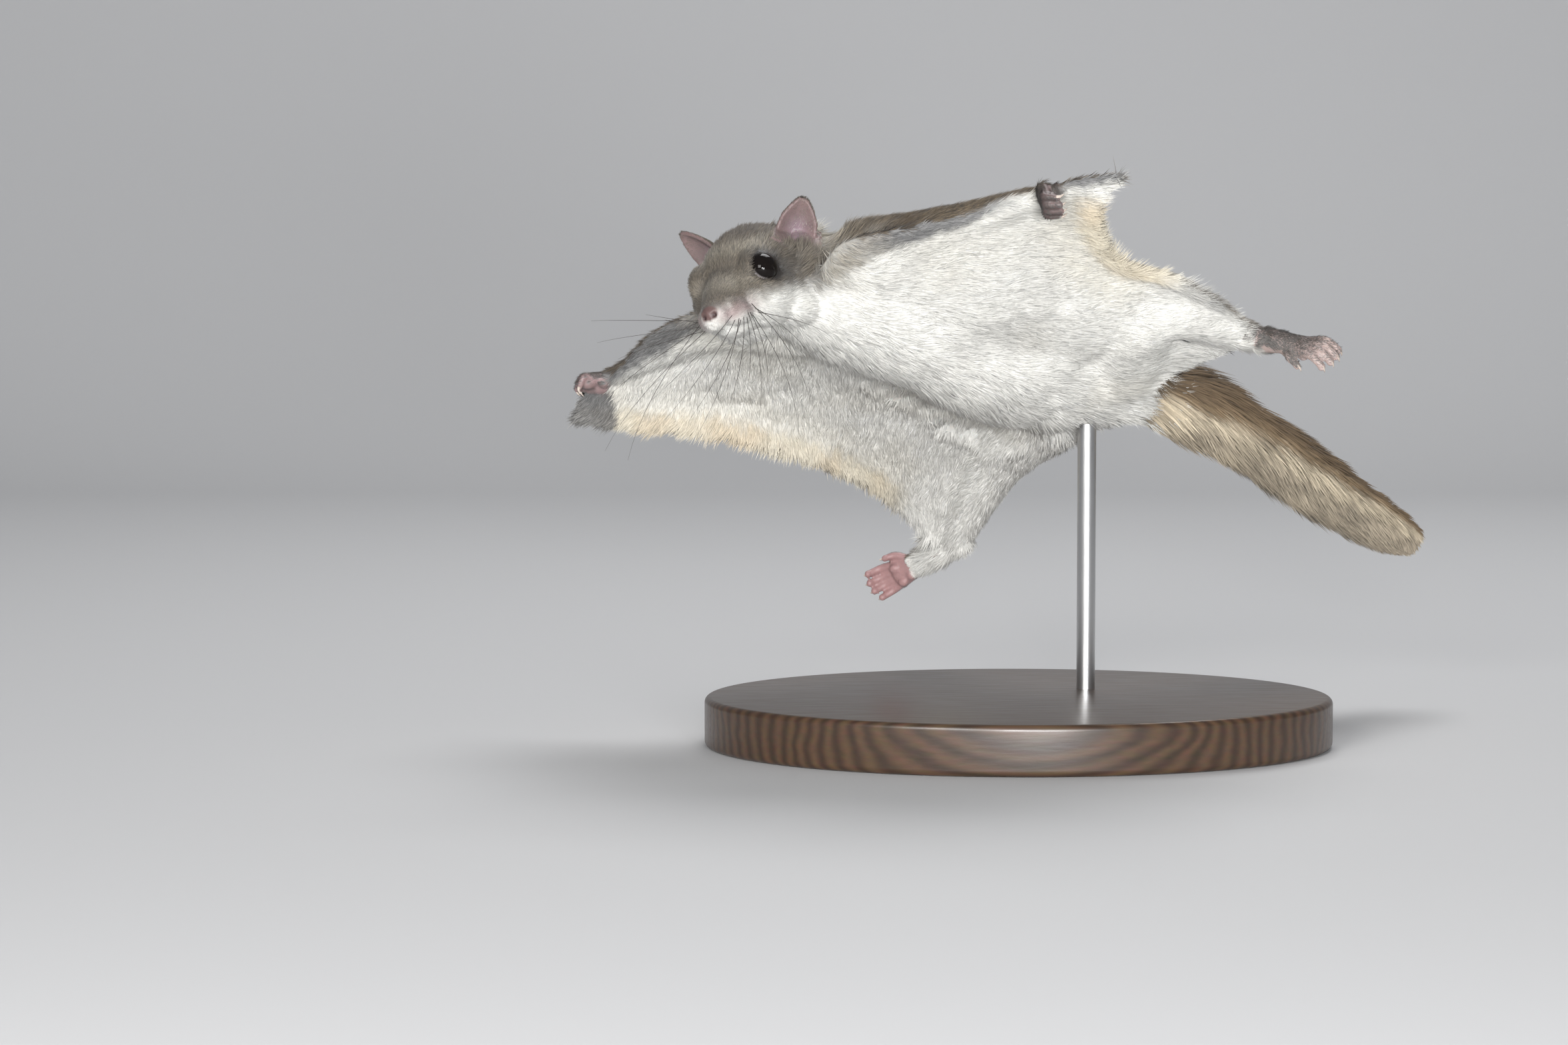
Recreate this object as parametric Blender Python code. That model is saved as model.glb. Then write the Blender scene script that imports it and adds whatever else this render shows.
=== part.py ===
"""A life-size southern flying squirrel, gliding with its limbs and skin folds spread, on a display stand."""

import math
import random

import bmesh
import bpy
import numpy as np
from mathutils import Euler, Matrix, Quaternion, Vector

# Lengths are in millimetres and angles in degrees, until a mesh is made.
MM = 0.001
GAP = 0.3
WALL_HIGH = 200.0
UP = (0, 0, 1)

# How the animal hangs in the air: nose up, left side up, flying towards -X and -Y.
BODY_PLACE, BODY_TURN = (-14.0, -2.5, 96.1), (29.1, -19.6, -149.4)
# The head's centre, 23 mm behind the nose, in the body's frame: forward, left, up.
HEAD_PLACE, HEAD_TURN = (58.6, -2.4, -5.2), (-2.5, 33.0, 18.5)

# Joints in the body's frame. The limbs aren't held alike.
SIDES = {"left": 1, "right": -1}
SHOULDER = {"left": (38, 13, 2), "right": (39, -13, 1)}
ELBOW = {"left": (37, 37, -1), "right": (50, -36, 3)}
WRIST = {"left": (27, 67, -3.5), "right": (55, -66, 4)}
WING_TIP = {"left": (20, 84, -6), "right": (53, -84.5, 0.5)}
HIP = {"left": (-37, 10, 1), "right": (-37, -10, 0)}
KNEE = {"left": (-27, 40, -2), "right": (-39, -36, -2)}
ANKLE = {"left": (-54, 42.5, 0.5), "right": (-47, -64, -10)}

# Edges of the skin folds, from the neck out to the wing tip, back along the free edge, and from the tail out.
LEADING_EDGE = {
    "left": ((50, 4, -8), (54, 22, -4.5), (47.5, 34.5, -4), (39.5, 45.5, -4), (30, 64, -4), WING_TIP["left"]),
    "right": ((50, -4, -3), (58, -24, 0), (61, -38, 1), (58.5, -54, 3), (54, -67, 3), WING_TIP["right"]),
}
FREE_EDGE = {
    "left": (
        WING_TIP["left"], (16, 73, -5), (9, 63, -5), (0.5, 57, -5), (-7, 54.5, -5), (-18.5, 57, -5),
        (-35, 53.5, -3.5), (-47, 48, -1.5), ANKLE["left"],
    ),
    "right": (
        WING_TIP["right"], (46.5, -76, -3), (38, -68, -5), (29.6, -63.5, -5), (9, -59.5, -5), (-16, -60.5, -5),
        (-33.5, -66, -6), (-42, -67, -9), ANKLE["right"],
    ),
}
REAR_EDGE = {
    "left": ((-50, 4, -2), (-49.5, 12, -1), (-48, 21, -1), (-50, 30, -1), ANKLE["left"]),
    "right": ((-50, -2, 0), (-43.5, -14, 0), (-42, -25, -2), (-43.5, -44, -6), ANKLE["right"]),
}
FOLD_ROOT, FOLD_CAMBER = {"left": -10.0, "right": -2.0}, {"left": 0.0, "right": 4.5}
FOLD_HALF_THICK, EDGE_DROOP, EDGE_WIDE = 1.4, 5.0, 0.13

# Trunk stations: centre, half width, half height.
TRUNK = (
    ((-54, 4, 3), 7, 6), ((-40, 2, 1.5), 14, 9), ((-24, 0, 0), 18.5, 11.5), ((-8, 0, -1), 18.5, 12.8),
    ((8, 0, -1), 15.5, 12.5), ((24, 0, -1.5), 15.5, 13), ((38, 0, -1), 15.5, 13.2), ((48, -1, -0.5), 13.5, 12.6),
    ((56, -3, -2), 11, 10.8),
)

# Tail stations, out to the tips of the coat: centre, half width, half thickness, roll with the left edge down.
TAIL = (
    ((-50, 4, 3), 8, 7, 36), ((-68, 6, 4), 12.4, 10.2, 34), ((-90, 3.4, 2.4), 12.9, 9.2, 26),
    ((-110, -1, 1), 12.2, 7.8, 18), ((-130, -5, 0.2), 10.2, 6.6, 12), ((-149, -8.8, 0.6), 6.4, 5, 8),
)
# The core's share of the coat's width and thickness at each station.
TAIL_CORE = (0.9, 0.5, 0.48, 0.48, 0.48, 0.25)
LOCK_START, LOCK_LONG, LOCK_WIDE, LOCK_THICK, LOCK_PITCH = 0.06, 0.22, 6.4, 2.0, 0.1
LOCK_ROWS = (10, 50, 90, 130, 170, 190, 230, 270, 310, 350)
LOCK_ROOT, TIP_LOCKS, TIP_REACH = 0.28, 5, 1.05

# The head's masses in its own frame, each a centre and radii. The last three stand on both sides.
SKULL = (-3, 0, 3), (16, 12, 12)
CHIN = (12, 0, -7.4), (7, 4.4, 3)
NOSE_PAD = (21.6, 0, -3.9), (1.9, 2.5, 1.9)
CHEEK = (4, 5, -2), (11, 7, 8)
LIP = (15.5, 3.2, -4.8), (4.8, 3.3, 3.3)
EYE_MOUND = (8.5, 6.6, 3.3), (5.2, 3.8, 5)
MUZZLE = (((5, 0, 0), 10, 9.5), ((13.5, 0, -2.6), 6.4, 6.6), ((20, 0, -4.6), 3.7, 3.6))
MOUTH = (((21, 0.2, -7), 0.5, 0.5), ((17, 4, -8.2), 0.5, 0.5), ((11, 7.5, -7), 0.4, 0.4))
NOSTRIL = (((25, 1.2, -2.8), 0.5, 0.5), ((23, 1.3, -2.6), 0.5, 0.5))
EYE_PLACE, EYE_RADIUS, EYE_AXIS = (8.5, 8.6, 3.3), 3.6, (0.45, 0.85, 0.25)
LID_LIFT, LID_RADIUS, LID_THICK = 1.3, 3.6, 0.75
EAR_ROOT, EAR_TIP = (-5.5, 9.0, 5.0), {"left": (-6, 15.8, 16.7), "right": (-5.5, -18.3, 17.8)}
EAR_HALF_WIDE, EAR_HALF_THICK, EAR_FACES = 4.6, 0.4, (0.8, 0.6, 0)

# The hands and feet in the body's frame: place, the way that the digits point, the way that the back faces.
HAND = {
    "left": ((29, 67, -3.2), (0.07, 0.36, -0.93), (0.6, -0.75, 0.3)),
    "right": ((54.5, -67.5, 4), (0.80, -0.59, -0.02), (0.3, 0.35, 0.9)),
}
FOOT = {
    "left": (ANKLE["left"], (-0.19, 0.84, -0.51), (0.75, 0, 0.66)),
    "right": (ANKLE["right"], (0.24, -0.965, -0.10), (-0.73, -0.25, 0.63)),
}
FINGERS, FINGER_LONG, FINGER_RADIUS = 4, 8.4, 0.85
TOES, TOE_LONG, TOE_RADIUS, BIG_TOE_RADIUS = 4, 25.6, 1.05, 0.95
PALM = (((0, 0, 0), 2.3, 2.0), ((2, 0, 0), 2.1, 1.7), ((4.5, 0, 0), 2.7, 1.6))
THUMB_PAD = (1.6, -1.2, -1.5), (1.5, 1.2, 1.0)
SOLE = (((-3, 0, -0.6), 3.7, 3.7), ((7, 0, 0), 3.0, 2.7), ((13, 0, 0), 3.1, 2.0), ((18, 0, 0), 3.9, 1.6))
BIG_TOE = (13, -2.2, -0.3), (16, -4.4, -0.4), (18.4, -5.0, -1.4)
SOLE_PADS, SOLE_PAD_RADII = ((17, 2.4), (17.6, -1.6), (14, 1.8), (12.5, -1.6)), (1.4, 1.2, 0.9)
CLAW_POINT = 0.2

BASE_LONG, BASE_WIDE, BASE_HIGH, BASE_ROUND, BASE_SIDES = 150.0, 110.0, 12.0, 1.5, 40
ROD_PLACE, ROD_RADIUS, ROD_TOP, ROD_SIDES = (17.0, 14.0), 2.25, 110.0, 20

# How each blend of masses is made: size of its cells, rounds of smoothing, and triangles kept.
BODY_SKIN, HEAD_SKIN, HEAD_CUT_SKIN = (0.75, 14, 3500), (0.45, 5, 1600), (0.7, 8, 1500)
HAND_SKIN, FOOT_SKIN = (0.3, 2, 410), (0.35, 2, 490)
FLAT_ANGLE, HEAD_SMOOTHING = 2.0, 0.25

COLOURS = {
    "head": (0.33, 0.28, 0.22), "ear": (0.42, 0.27, 0.25), "eye": (0.01, 0.01, 0.012),
    "neck": (0.55, 0.53, 0.48), "torso": (0.72, 0.71, 0.67), "patagium": (0.76, 0.73, 0.64),
    "arm": (0.40, 0.39, 0.37), "hand": (0.45, 0.29, 0.27), "leg": (0.70, 0.69, 0.65),
    "foot": (0.52, 0.42, 0.40), "tail": (0.47, 0.37, 0.25),
    "stand_base": (0.10, 0.06, 0.04), "stand_rod": (0.60, 0.60, 0.60),
}
FUR_ROUGHNESS, METALLIC = 0.85, {"stand_rod": 1.0}
ROUGHNESS = {"eye": 0.08, "ear": 0.55, "hand": 0.6, "foot": 0.6, "stand_base": 0.4, "stand_rod": 0.3}


# Scene and mesh helpers


def clear_scene():
    for old in list(bpy.data.objects):
        bpy.data.objects.remove(old, do_unlink=True)


def remove(objects):
    for obj in objects:
        bpy.data.objects.remove(obj, do_unlink=True)


def frame_matrix(place, turn):
    return Matrix.LocRotScale(Vector(place) * MM, Euler([math.radians(a) for a in turn]), None)


def frame_from_axes(place, forward, top):
    """A frame at a place, with its X axis along forward and its Z axis as near to top as it can be."""
    x = Vector(forward).normalized()
    y = Vector(top).cross(x).normalized()
    axes = Matrix((x, y, x.cross(y))).transposed().to_4x4()
    return Matrix.Translation(Vector(place) * MM) @ axes


def empty(name, matrix, parent=None):
    made = bpy.data.objects.new(name, None)
    bpy.context.scene.collection.objects.link(made)
    made.parent = parent
    made.matrix_local = matrix
    bpy.context.view_layer.update()
    return made


def new_object(name, mesh, frame):
    obj = bpy.data.objects.new(name, mesh)
    bpy.context.scene.collection.objects.link(obj)
    obj.parent = frame
    bpy.context.view_layer.update()
    return obj


def object_from_bmesh(name, shape, frame):
    bmesh.ops.recalc_face_normals(shape, faces=shape.faces)
    mesh = bpy.data.meshes.new(name)
    shape.to_mesh(mesh)
    shape.free()
    return new_object(name, mesh, frame)


def mesh_object(name, verts, faces, frame):
    mesh = bpy.data.meshes.new(name)
    mesh.from_pydata([tuple(Vector(v) * MM) for v in verts], [], faces)
    shape = bmesh.new()
    shape.from_mesh(mesh)
    bpy.data.meshes.remove(mesh)
    return object_from_bmesh(name, shape, frame)


def apply_modifiers(obj):
    bpy.context.view_layer.update()
    graph = bpy.context.evaluated_depsgraph_get()
    made = bpy.data.meshes.new_from_object(obj.evaluated_get(graph))
    obj.modifiers.clear()
    obj.data = made
    return obj


def boolean(obj, other, operation="DIFFERENCE", solver="EXACT"):
    cut = obj.modifiers.new("cut", "BOOLEAN")
    cut.operation = operation
    cut.solver = solver
    cut.object = other
    return apply_modifiers(obj)


def fused(obj, pieces):
    """An object united with the closed pieces that grow from it, which are then removed."""
    group = bpy.data.collections.new("pieces")
    for piece in pieces:
        group.objects.link(piece)
    union = obj.modifiers.new("union", "BOOLEAN")
    union.operation = "UNION"
    union.operand_type = "COLLECTION"
    union.collection = group
    union.solver = "EXACT"
    apply_modifiers(obj)
    remove(pieces)
    bpy.data.collections.remove(group)
    return keep_largest(obj)


def cut_by(obj, cutters):
    for cutter in cutters:
        boolean(obj, cutter)
    return obj


def joined(name, pieces, frame):
    """One mesh of all the pieces as they lie, which are then removed."""
    shape = bmesh.new()
    home = frame.matrix_world.inverted()
    for piece in pieces:
        mesh = piece.data.copy()
        mesh.transform(home @ piece.matrix_world)
        shape.from_mesh(mesh)
        bpy.data.meshes.remove(mesh)
    remove(pieces)
    mesh = bpy.data.meshes.new(name)
    shape.to_mesh(mesh)
    shape.free()
    return new_object(name, mesh, frame)


def thinned(obj, triangles):
    obj.data.calc_loop_triangles()
    fewer = obj.modifiers.new("fewer", "DECIMATE")
    fewer.ratio = min(1.0, triangles / len(obj.data.loop_triangles))
    fewer.use_collapse_triangulate = True
    return apply_modifiers(obj)


def flats_merged(obj, angle):
    """Merges the faces that lie flat together, as along a cut."""
    flat = obj.modifiers.new("flat", "DECIMATE")
    flat.decimate_type = "DISSOLVE"
    flat.angle_limit = math.radians(angle)
    apply_modifiers(obj)
    even = obj.modifiers.new("even", "TRIANGULATE")
    even.min_vertices = 4
    return apply_modifiers(obj)


def blended(name, pieces, frame, skin):
    """The pieces as one closed skin with rounded joins."""
    voxel, rounds, triangles = skin
    obj = joined(name, pieces, frame)
    remesh = obj.modifiers.new("skin", "REMESH")
    remesh.mode = "VOXEL"
    remesh.voxel_size = voxel * MM
    relax = obj.modifiers.new("relax", "SMOOTH")
    relax.factor = 0.5
    relax.iterations = rounds
    return thinned(apply_modifiers(obj), triangles)


def swollen(obj, amount):
    """A copy of a closed mesh, grown along its normals."""
    copy = new_object(obj.name + "_swollen", obj.data.copy(), obj.parent)
    swell = copy.modifiers.new("swell", "DISPLACE")
    swell.mid_level = 0.0
    swell.strength = amount * MM
    return apply_modifiers(copy)


def surfaces(obj):
    """The separate surfaces of a mesh: volume, middle in millimetres, and the indices of the faces."""
    shape = bmesh.new()
    shape.from_mesh(obj.data)
    waiting = set(shape.faces)
    found = []
    while waiting:
        group = [waiting.pop()]
        for face in group:
            for edge in face.edges:
                for near in edge.link_faces:
                    if near in waiting:
                        waiting.discard(near)
                        group.append(near)
        volume = 0.0
        middle = Vector()
        for face in group:
            corners = [v.co / MM for v in face.verts]
            for b, c in zip(corners[1:], corners[2:]):
                part = corners[0].dot(b.cross(c)) / 6
                volume += part
                middle += part * (corners[0] + b + c) / 4
        found.append((volume, middle / (volume or 1), {face.index for face in group}))
    shape.free()
    return sorted(found, key=lambda item: -item[0])


def surface_object(obj, name, indices, frame):
    shape = bmesh.new()
    shape.from_mesh(obj.data)
    shape.faces.ensure_lookup_table()
    bmesh.ops.delete(shape, geom=[f for f in shape.faces if f.index not in indices], context="FACES")
    mesh = bpy.data.meshes.new(name)
    shape.to_mesh(mesh)
    shape.free()
    return new_object(name, mesh, frame)


def keep_largest(obj):
    """Drops every closed surface but the largest."""
    found = surfaces(obj)
    if len(found) > 1:
        kept = surface_object(obj, obj.name + "_kept", found[0][2], obj.parent)
        obj.data = kept.data
        remove([kept])
    return obj


# Curves and simple closed pieces


def curve_through(points, steps):
    """Rows of a Catmull-Rom curve through rows of numbers, with so many steps in each span."""
    rows = [np.array(p, float) for p in points]
    rows = [2 * rows[0] - rows[1], *rows, 2 * rows[-1] - rows[-2]]
    found = []
    for a, b, c, d in zip(rows, rows[1:], rows[2:], rows[3:]):
        for t in np.arange(steps) / steps:
            bend = (2 * a - 5 * b + 4 * c - d) * t**2 + (3 * b - a - 3 * c + d) * t**3
            found.append(b + 0.5 * ((c - a) * t + bend))
    found.append(rows[-2])
    return np.array(found)


def evenly_spaced(points, count):
    """So many points along a smooth curve through the given ones, the same distance apart."""
    fine = curve_through(points, 12)
    run = np.concatenate([[0], np.cumsum(np.linalg.norm(np.diff(fine, axis=0), axis=1))])
    at = np.linspace(0, run[-1], count)
    return np.array([np.interp(at, run, fine[:, k]) for k in range(fine.shape[1])]).T


def sections(stations, steps):
    """Smooth sections through stations of a centre, a half width, a half height and, if any, a roll."""
    rows = curve_through([(*s[0], *s[1:3], s[3] if len(s) > 3 else 0) for s in stations], steps)
    centres = [Vector(r[:3]) for r in rows]
    last = len(rows) - 1
    found = []
    for i, (wide, high, roll) in enumerate(rows[:, 3:]):
        along = (centres[min(i + 1, last)] - centres[max(i - 1, 0)]).normalized()
        side = Vector(UP).cross(along).normalized()
        side.rotate(Quaternion(along, math.radians(roll)))
        found.append((centres[i], along, side, wide, high))
    return found


def spot_on(rows, share, across, above):
    """A point in a tube's sections, by its share of the length, of the half width and of the half height."""
    at = share * (len(rows) - 1)
    i = max(0, min(int(at), len(rows) - 2))
    centre, along, side, wide, high = rows[i]
    after = rows[i + 1]
    step = min(at - i, 1.0)
    wide += (after[3] - wide) * step
    high += (after[4] - high) * step
    return centre + (after[0] - centre) * (at - i) + side * wide * across + along.cross(side) * high * above


def tube(stations, frame, sides=16, steps=4, name="tube"):
    """A closed tube with round ends."""
    rows = sections(stations, steps)
    last = len(rows) - 1
    rings = []
    for i, (centre, along, side, wide, high) in enumerate(rows):
        up = along.cross(side)
        caps = {0: (-0.92, -0.6, 0), last: (0, 0.6, 0.92)}.get(i, (0,))
        for cap in caps:
            shrink = math.sqrt(1 - cap * cap)
            middle = centre + along * cap * min(wide, high)
            ring = []
            for k in range(sides):
                angle = math.tau * k / sides
                ring.append(middle + shrink * (side * wide * math.cos(angle) + up * high * math.sin(angle)))
            rings.append(ring)
    verts = [v for ring in rings for v in ring]
    faces = [tuple(range(sides)), tuple(range(len(verts) - sides, len(verts)))]
    for start in range(0, len(verts) - sides, sides):
        for k in range(sides):
            m = (k + 1) % sides
            faces.append((start + k, start + m, start + sides + m, start + sides + k))
    return mesh_object(name, verts, faces, frame)


def ball(centre, radii, frame, turn=(0, 0, 0), segments=24, rings=14, name="ball"):
    shape = bmesh.new()
    bmesh.ops.create_uvsphere(shape, u_segments=segments, v_segments=rings, radius=1.0)
    size = Matrix.Diagonal((*(Vector(radii) * MM), 1.0))
    bmesh.ops.transform(shape, matrix=frame_matrix(centre, turn) @ size, verts=shape.verts)
    return object_from_bmesh(name, shape, frame)


def ring_of(centre, axis, radius, thick, frame, name="ring"):
    """A torus round an axis."""
    verts, faces = [], []
    place = Vector(axis).to_track_quat("Z", "Y").to_matrix()
    around, across = 28, 8
    for i in range(around):
        a = math.tau * i / around
        for k in range(across):
            b = math.tau * k / across
            reach = radius + thick * math.cos(b)
            spot = place @ Vector((reach * math.cos(a), reach * math.sin(a), thick * math.sin(b)))
            verts.append(Vector(centre) + spot)
            i2, k2 = (i + 1) % around, (k + 1) % across
            faces.append((i * across + k, i2 * across + k, i2 * across + k2, i * across + k2))
    return mesh_object(name, verts, faces, frame)


def sheet(grid, half_thick, frame, name="sheet"):
    """A closed sheet on a grid of points, with its own half thickness at each of them."""
    rows, columns = grid.shape[:2]
    along = np.gradient(grid, axis=0)
    across = np.gradient(grid, axis=1)
    normal = np.cross(along, across)
    normal /= np.linalg.norm(normal, axis=2, keepdims=True) + 1e-9
    verts = np.concatenate([(grid + side * normal * half_thick[..., None]).reshape(-1, 3) for side in (1, -1)])
    far = rows * columns
    faces = []
    for i in range(rows - 1):
        for k in range(columns - 1):
            a = i * columns + k
            quad = (a, a + 1, a + columns + 1, a + columns)
            faces += [quad, tuple(far + v for v in quad[::-1])]
    rim = [k for k in range(columns)]
    rim += [i * columns + columns - 1 for i in range(1, rows)]
    rim += [(rows - 1) * columns + k for k in range(columns - 2, -1, -1)]
    rim += [i * columns for i in range(rows - 2, 0, -1)]
    for a, b in zip(rim, rim[1:] + rim[:1]):
        faces.append((a, far + a, far + b, b))
    return mesh_object(name, [tuple(v) for v in verts], faces, frame)


def fence(points, frame, name="fence"):
    """A wall as thin as the gap between two nodes, standing on a line seen from above."""
    line = np.array(points, float)
    steps = np.diff(line, axis=0)
    steps /= np.linalg.norm(steps, axis=1, keepdims=True)
    before = np.vstack([steps[:1], steps])
    after = np.vstack([steps, steps[-1:]])
    mean = before + after
    mean /= np.linalg.norm(mean, axis=1, keepdims=True)
    side = np.stack([-mean[:, 1], mean[:, 0]], axis=1)
    reach = GAP / 2 / np.maximum(0.5, (mean * after).sum(axis=1))
    rim = np.vstack([line + side * reach[:, None], (line - side * reach[:, None])[::-1]])
    count = len(rim)
    verts = [(x, y, z) for z in (-WALL_HIGH / 2, WALL_HIGH / 2) for x, y in rim]
    faces = [(k, (k + 1) % count, count + (k + 1) % count, count + k) for k in range(count)]
    half = count // 2
    for low in (0, count):
        for k in range(half - 1):
            faces.append((low + k, low + k + 1, low + count - 2 - k, low + count - 1 - k))
    return mesh_object(name, verts, faces, frame)


# The body: trunk, limbs and skin folds as one blend, then parted by thin walls


def skin_fold(side, frame):
    """The fold of skin from the spine out to the wrist and the ankle, cambered, with its free edge drooping."""
    rows, columns = 34, 26
    front = evenly_spaced(LEADING_EDGE[side], columns)
    rear = evenly_spaced(REAR_EDGE[side], columns)
    inner = evenly_spaced((LEADING_EDGE[side][0], (0, 0, FOLD_ROOT[side]), REAR_EDGE[side][0]), rows)
    outer = evenly_spaced(FREE_EDGE[side], rows)
    u = np.linspace(0, 1, rows)[:, None, None]
    v = np.linspace(0, 1, columns)[None, :, None]
    grid = (1 - u) * front[None] + u * rear[None] + (1 - v) * inner[:, None] + v * outer[:, None]
    grid -= (1 - u) * ((1 - v) * front[0] + v * front[-1]) + u * ((1 - v) * rear[0] + v * rear[-1])
    inside = np.sin(np.pi * u) ** 0.7
    edge = np.clip((v - 1 + EDGE_WIDE) / EDGE_WIDE, 0, 1) ** 1.5
    lift = FOLD_CAMBER[side] * np.sin(np.pi * v) + EDGE_DROOP * v**3 * (1 - edge)
    grid[..., 2] += (inside * lift)[..., 0]
    thick = FOLD_HALF_THICK * (1 + 0.25 * edge * inside)[..., 0]
    return sheet(grid, np.broadcast_to(thick, grid.shape[:2]), frame, side + "_fold")


def limbs(side, frame):
    tip = Vector(WING_TIP[side])
    wrist = Vector(WRIST[side])
    return [
        tube(((SHOULDER[side], 10, 10.5), (ELBOW[side], 5, 4.8), (WRIST[side], 2.6, 2.4)), frame),
        tube(((HIP[side], 11, 8.5), (KNEE[side], 7.5, 6.5), (ANKLE[side], 3.8, 3.6)), frame),
        tube(((wrist, 2.4, 1.8), (wrist.lerp(tip, 0.55), 4.4, 1.5), (wrist.lerp(tip, 0.97), 2.6, 1.1)), frame),
    ]


def body_blend(frame):
    pieces = [tube(TRUNK, frame, sides=24)]
    for side in SIDES:
        pieces.append(skin_fold(side, frame))
        pieces += limbs(side, frame)
    return blended("body", pieces, frame, BODY_SKIN)


def body_fences(frame):
    loop = [(48.5, 11.5), (40, 15.5), (24, 17.5), (0, 19), (-22, 21), (-38, 17), (-50, 11), (-70, 10)]
    fences = [fence([(46.5, 13), (46.5, -13)], frame)]
    arms = {
        "left": [(25, 16.5), (28, 38), (20.5, 65), (23, 70.5), (60, 70.5)],
        "right": [(25, -16.5), (42, -37), (47.5, -63), (49, -69), (80, -69)],
    }
    legs = {
        "left": [(-22, 20), (-18, 38), (-26, 49), (-44, 51), (-50, 70)],
        "right": [(-22, -20), (-33, -34), (-40.5, -55), (-40, -90)],
    }
    for side, mirror in SIDES.items():
        fences.append(fence([(x, mirror * y) for x, y in loop], frame))
        fences.append(fence([(46, mirror * 11.5), (90, mirror * 16)], frame))
        fences += [fence(arms[side], frame), fence(legs[side], frame)]
    return fences


def parted_body(body, head_cut, frame):
    """The blend cut into its named parts, each the largest piece that lies nearest to its own middle."""
    middles = {"torso": (0, 0, 0), "neck": (52, -4, -2)}
    for side, mirror in SIDES.items():
        middles["arm_" + side] = Vector(ELBOW[side])
        middles["leg_" + side] = Vector(KNEE[side])
        middles["patagium_" + side] = (8, mirror * 38, 2)
    fences = body_fences(frame)
    cut_by(body, [head_cut, *fences])
    remove(fences)
    parts = {}
    for volume, middle, indices in surfaces(body):
        name = min(middles, key=lambda n: (middle - Vector(middles[n])).length)
        if name not in parts:
            parts[name] = surface_object(body, name, indices, frame)
    remove([body])
    return [flats_merged(part, FLAT_ANGLE) for part in parts.values()]


# The head


def mirrored(spot, mirror):
    return Vector((spot[0], spot[1] * mirror, spot[2]))


def head_shape(frame):
    pieces = [ball(*SKULL, frame), ball(*CHIN, frame), tube(MUZZLE, frame)]
    for mirror in SIDES.values():
        for centre, radii in (CHEEK, LIP, EYE_MOUND):
            pieces.append(ball(mirrored(centre, mirror), radii, frame))
    return pieces


def head_parts(frame):
    """The head with its eye sockets, lids, lips, mouth line and nostrils, and the two eyes."""
    plain = blended("head_plain", head_shape(frame), frame, HEAD_CUT_SKIN)
    pieces = [*head_shape(frame), ball(*NOSE_PAD, frame)]
    eyes, cuts = [], []
    for side, mirror in SIDES.items():
        centre = mirrored(EYE_PLACE, mirror)
        axis = mirrored(EYE_AXIS, mirror).normalized()
        pieces.append(ring_of(centre + axis * LID_LIFT, axis, LID_RADIUS, LID_THICK, frame))
        eyes.append(ball(centre, (EYE_RADIUS,) * 3, frame, segments=16, rings=9, name="eye_" + side))
        cuts.append(ball(centre, (EYE_RADIUS + GAP,) * 3, frame, segments=16, rings=9))
        for line, steps in ((MOUTH, 3), (NOSTRIL, 1)):
            stations = [(mirrored(spot, mirror), wide, high) for spot, wide, high in line]
            cuts.append(tube(stations, frame, sides=6, steps=steps))
    head = cut_by(blended("head", pieces, frame, HEAD_SKIN), cuts)
    remove(cuts)
    return plain, keep_largest(head), eyes


def ear(side, frame, cutters):
    """A thin cupped ear, widest below its middle, that stands out of the head and opens forwards."""
    root = mirrored(EAR_ROOT, SIDES[side])
    long = Vector(EAR_TIP[side]) - root
    opening = mirrored(EAR_FACES, SIDES[side])
    across = long.cross(opening).normalized()
    opening = across.cross(long).normalized()
    rows, columns = 8, 7
    grid = np.zeros((rows, columns, 3))
    for i in range(rows):
        b = i / (rows - 1)
        wide = EAR_HALF_WIDE * math.sin(math.pi * (0.17 + 0.80 * b)) ** 0.75
        for k in range(columns):
            a = -1 + 2 * k / (columns - 1)
            cup = (0.25 + 0.75 * (1 - b)) * wide * (1 - a * a)
            grid[i, k] = root + long * b + across * a * wide - opening * cup
    made = sheet(grid, np.full((rows, columns), EAR_HALF_THICK), frame, "ear_" + side)
    return keep_largest(cut_by(made, cutters))


# Hands and feet, in frames of their own: forward, left, and the back of the hand or foot


def digit(root, knuckle, tip, radius, frame):
    """A curled finger or toe with a pad under its end and a claw that hooks down."""
    tip = Vector(tip)
    down = Vector((0, 0, -1))
    forward = (tip - Vector(knuckle)).normalized()
    claw_root = tip + forward * radius * 0.2
    claw_tip = claw_root + forward * radius * 1.1 + down * radius * 1.3
    claw_mid = claw_root.lerp(claw_tip, 0.5) + Vector((0.3, 0, 0.3)) * radius
    bone = ((root, 1.0), (knuckle, 1.0), (tip, 0.85))
    claw = ((claw_root, 0.52), (claw_mid, 0.4), (claw_tip, CLAW_POINT / radius))
    return [
        tube([(spot, radius * share, radius * share) for spot, share in bone], frame, sides=8, steps=3),
        tube([(spot, radius * share, radius * share) for spot, share in claw], frame, sides=6, steps=2),
        ball(tip + down * radius * 0.45, (radius * 0.95,) * 3, frame, segments=10, rings=8),
    ]


def hand(side, frame, body_cut):
    mirror = SIDES[side]
    pad, radii = THUMB_PAD
    pieces = [tube(PALM, frame, sides=12), ball(mirrored(pad, mirror), radii, frame)]
    for k in range(FINGERS):
        spread = (k - (FINGERS - 1) / 2) * mirror
        reach = FINGER_LONG - 0.35 * (k - 1.4) ** 2
        root = (FINGER_LONG / 2, spread * 1.2, 0.3)
        knuckle = (reach - 1.2, spread * 1.75, 0.5)
        tip = (reach, spread * 1.8, -2.2)
        pieces += digit(root, knuckle, tip, FINGER_RADIUS, frame)
    made = blended("hand_" + side, pieces, frame, HAND_SKIN)
    boolean(made, body_cut)
    return keep_largest(made)


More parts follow.
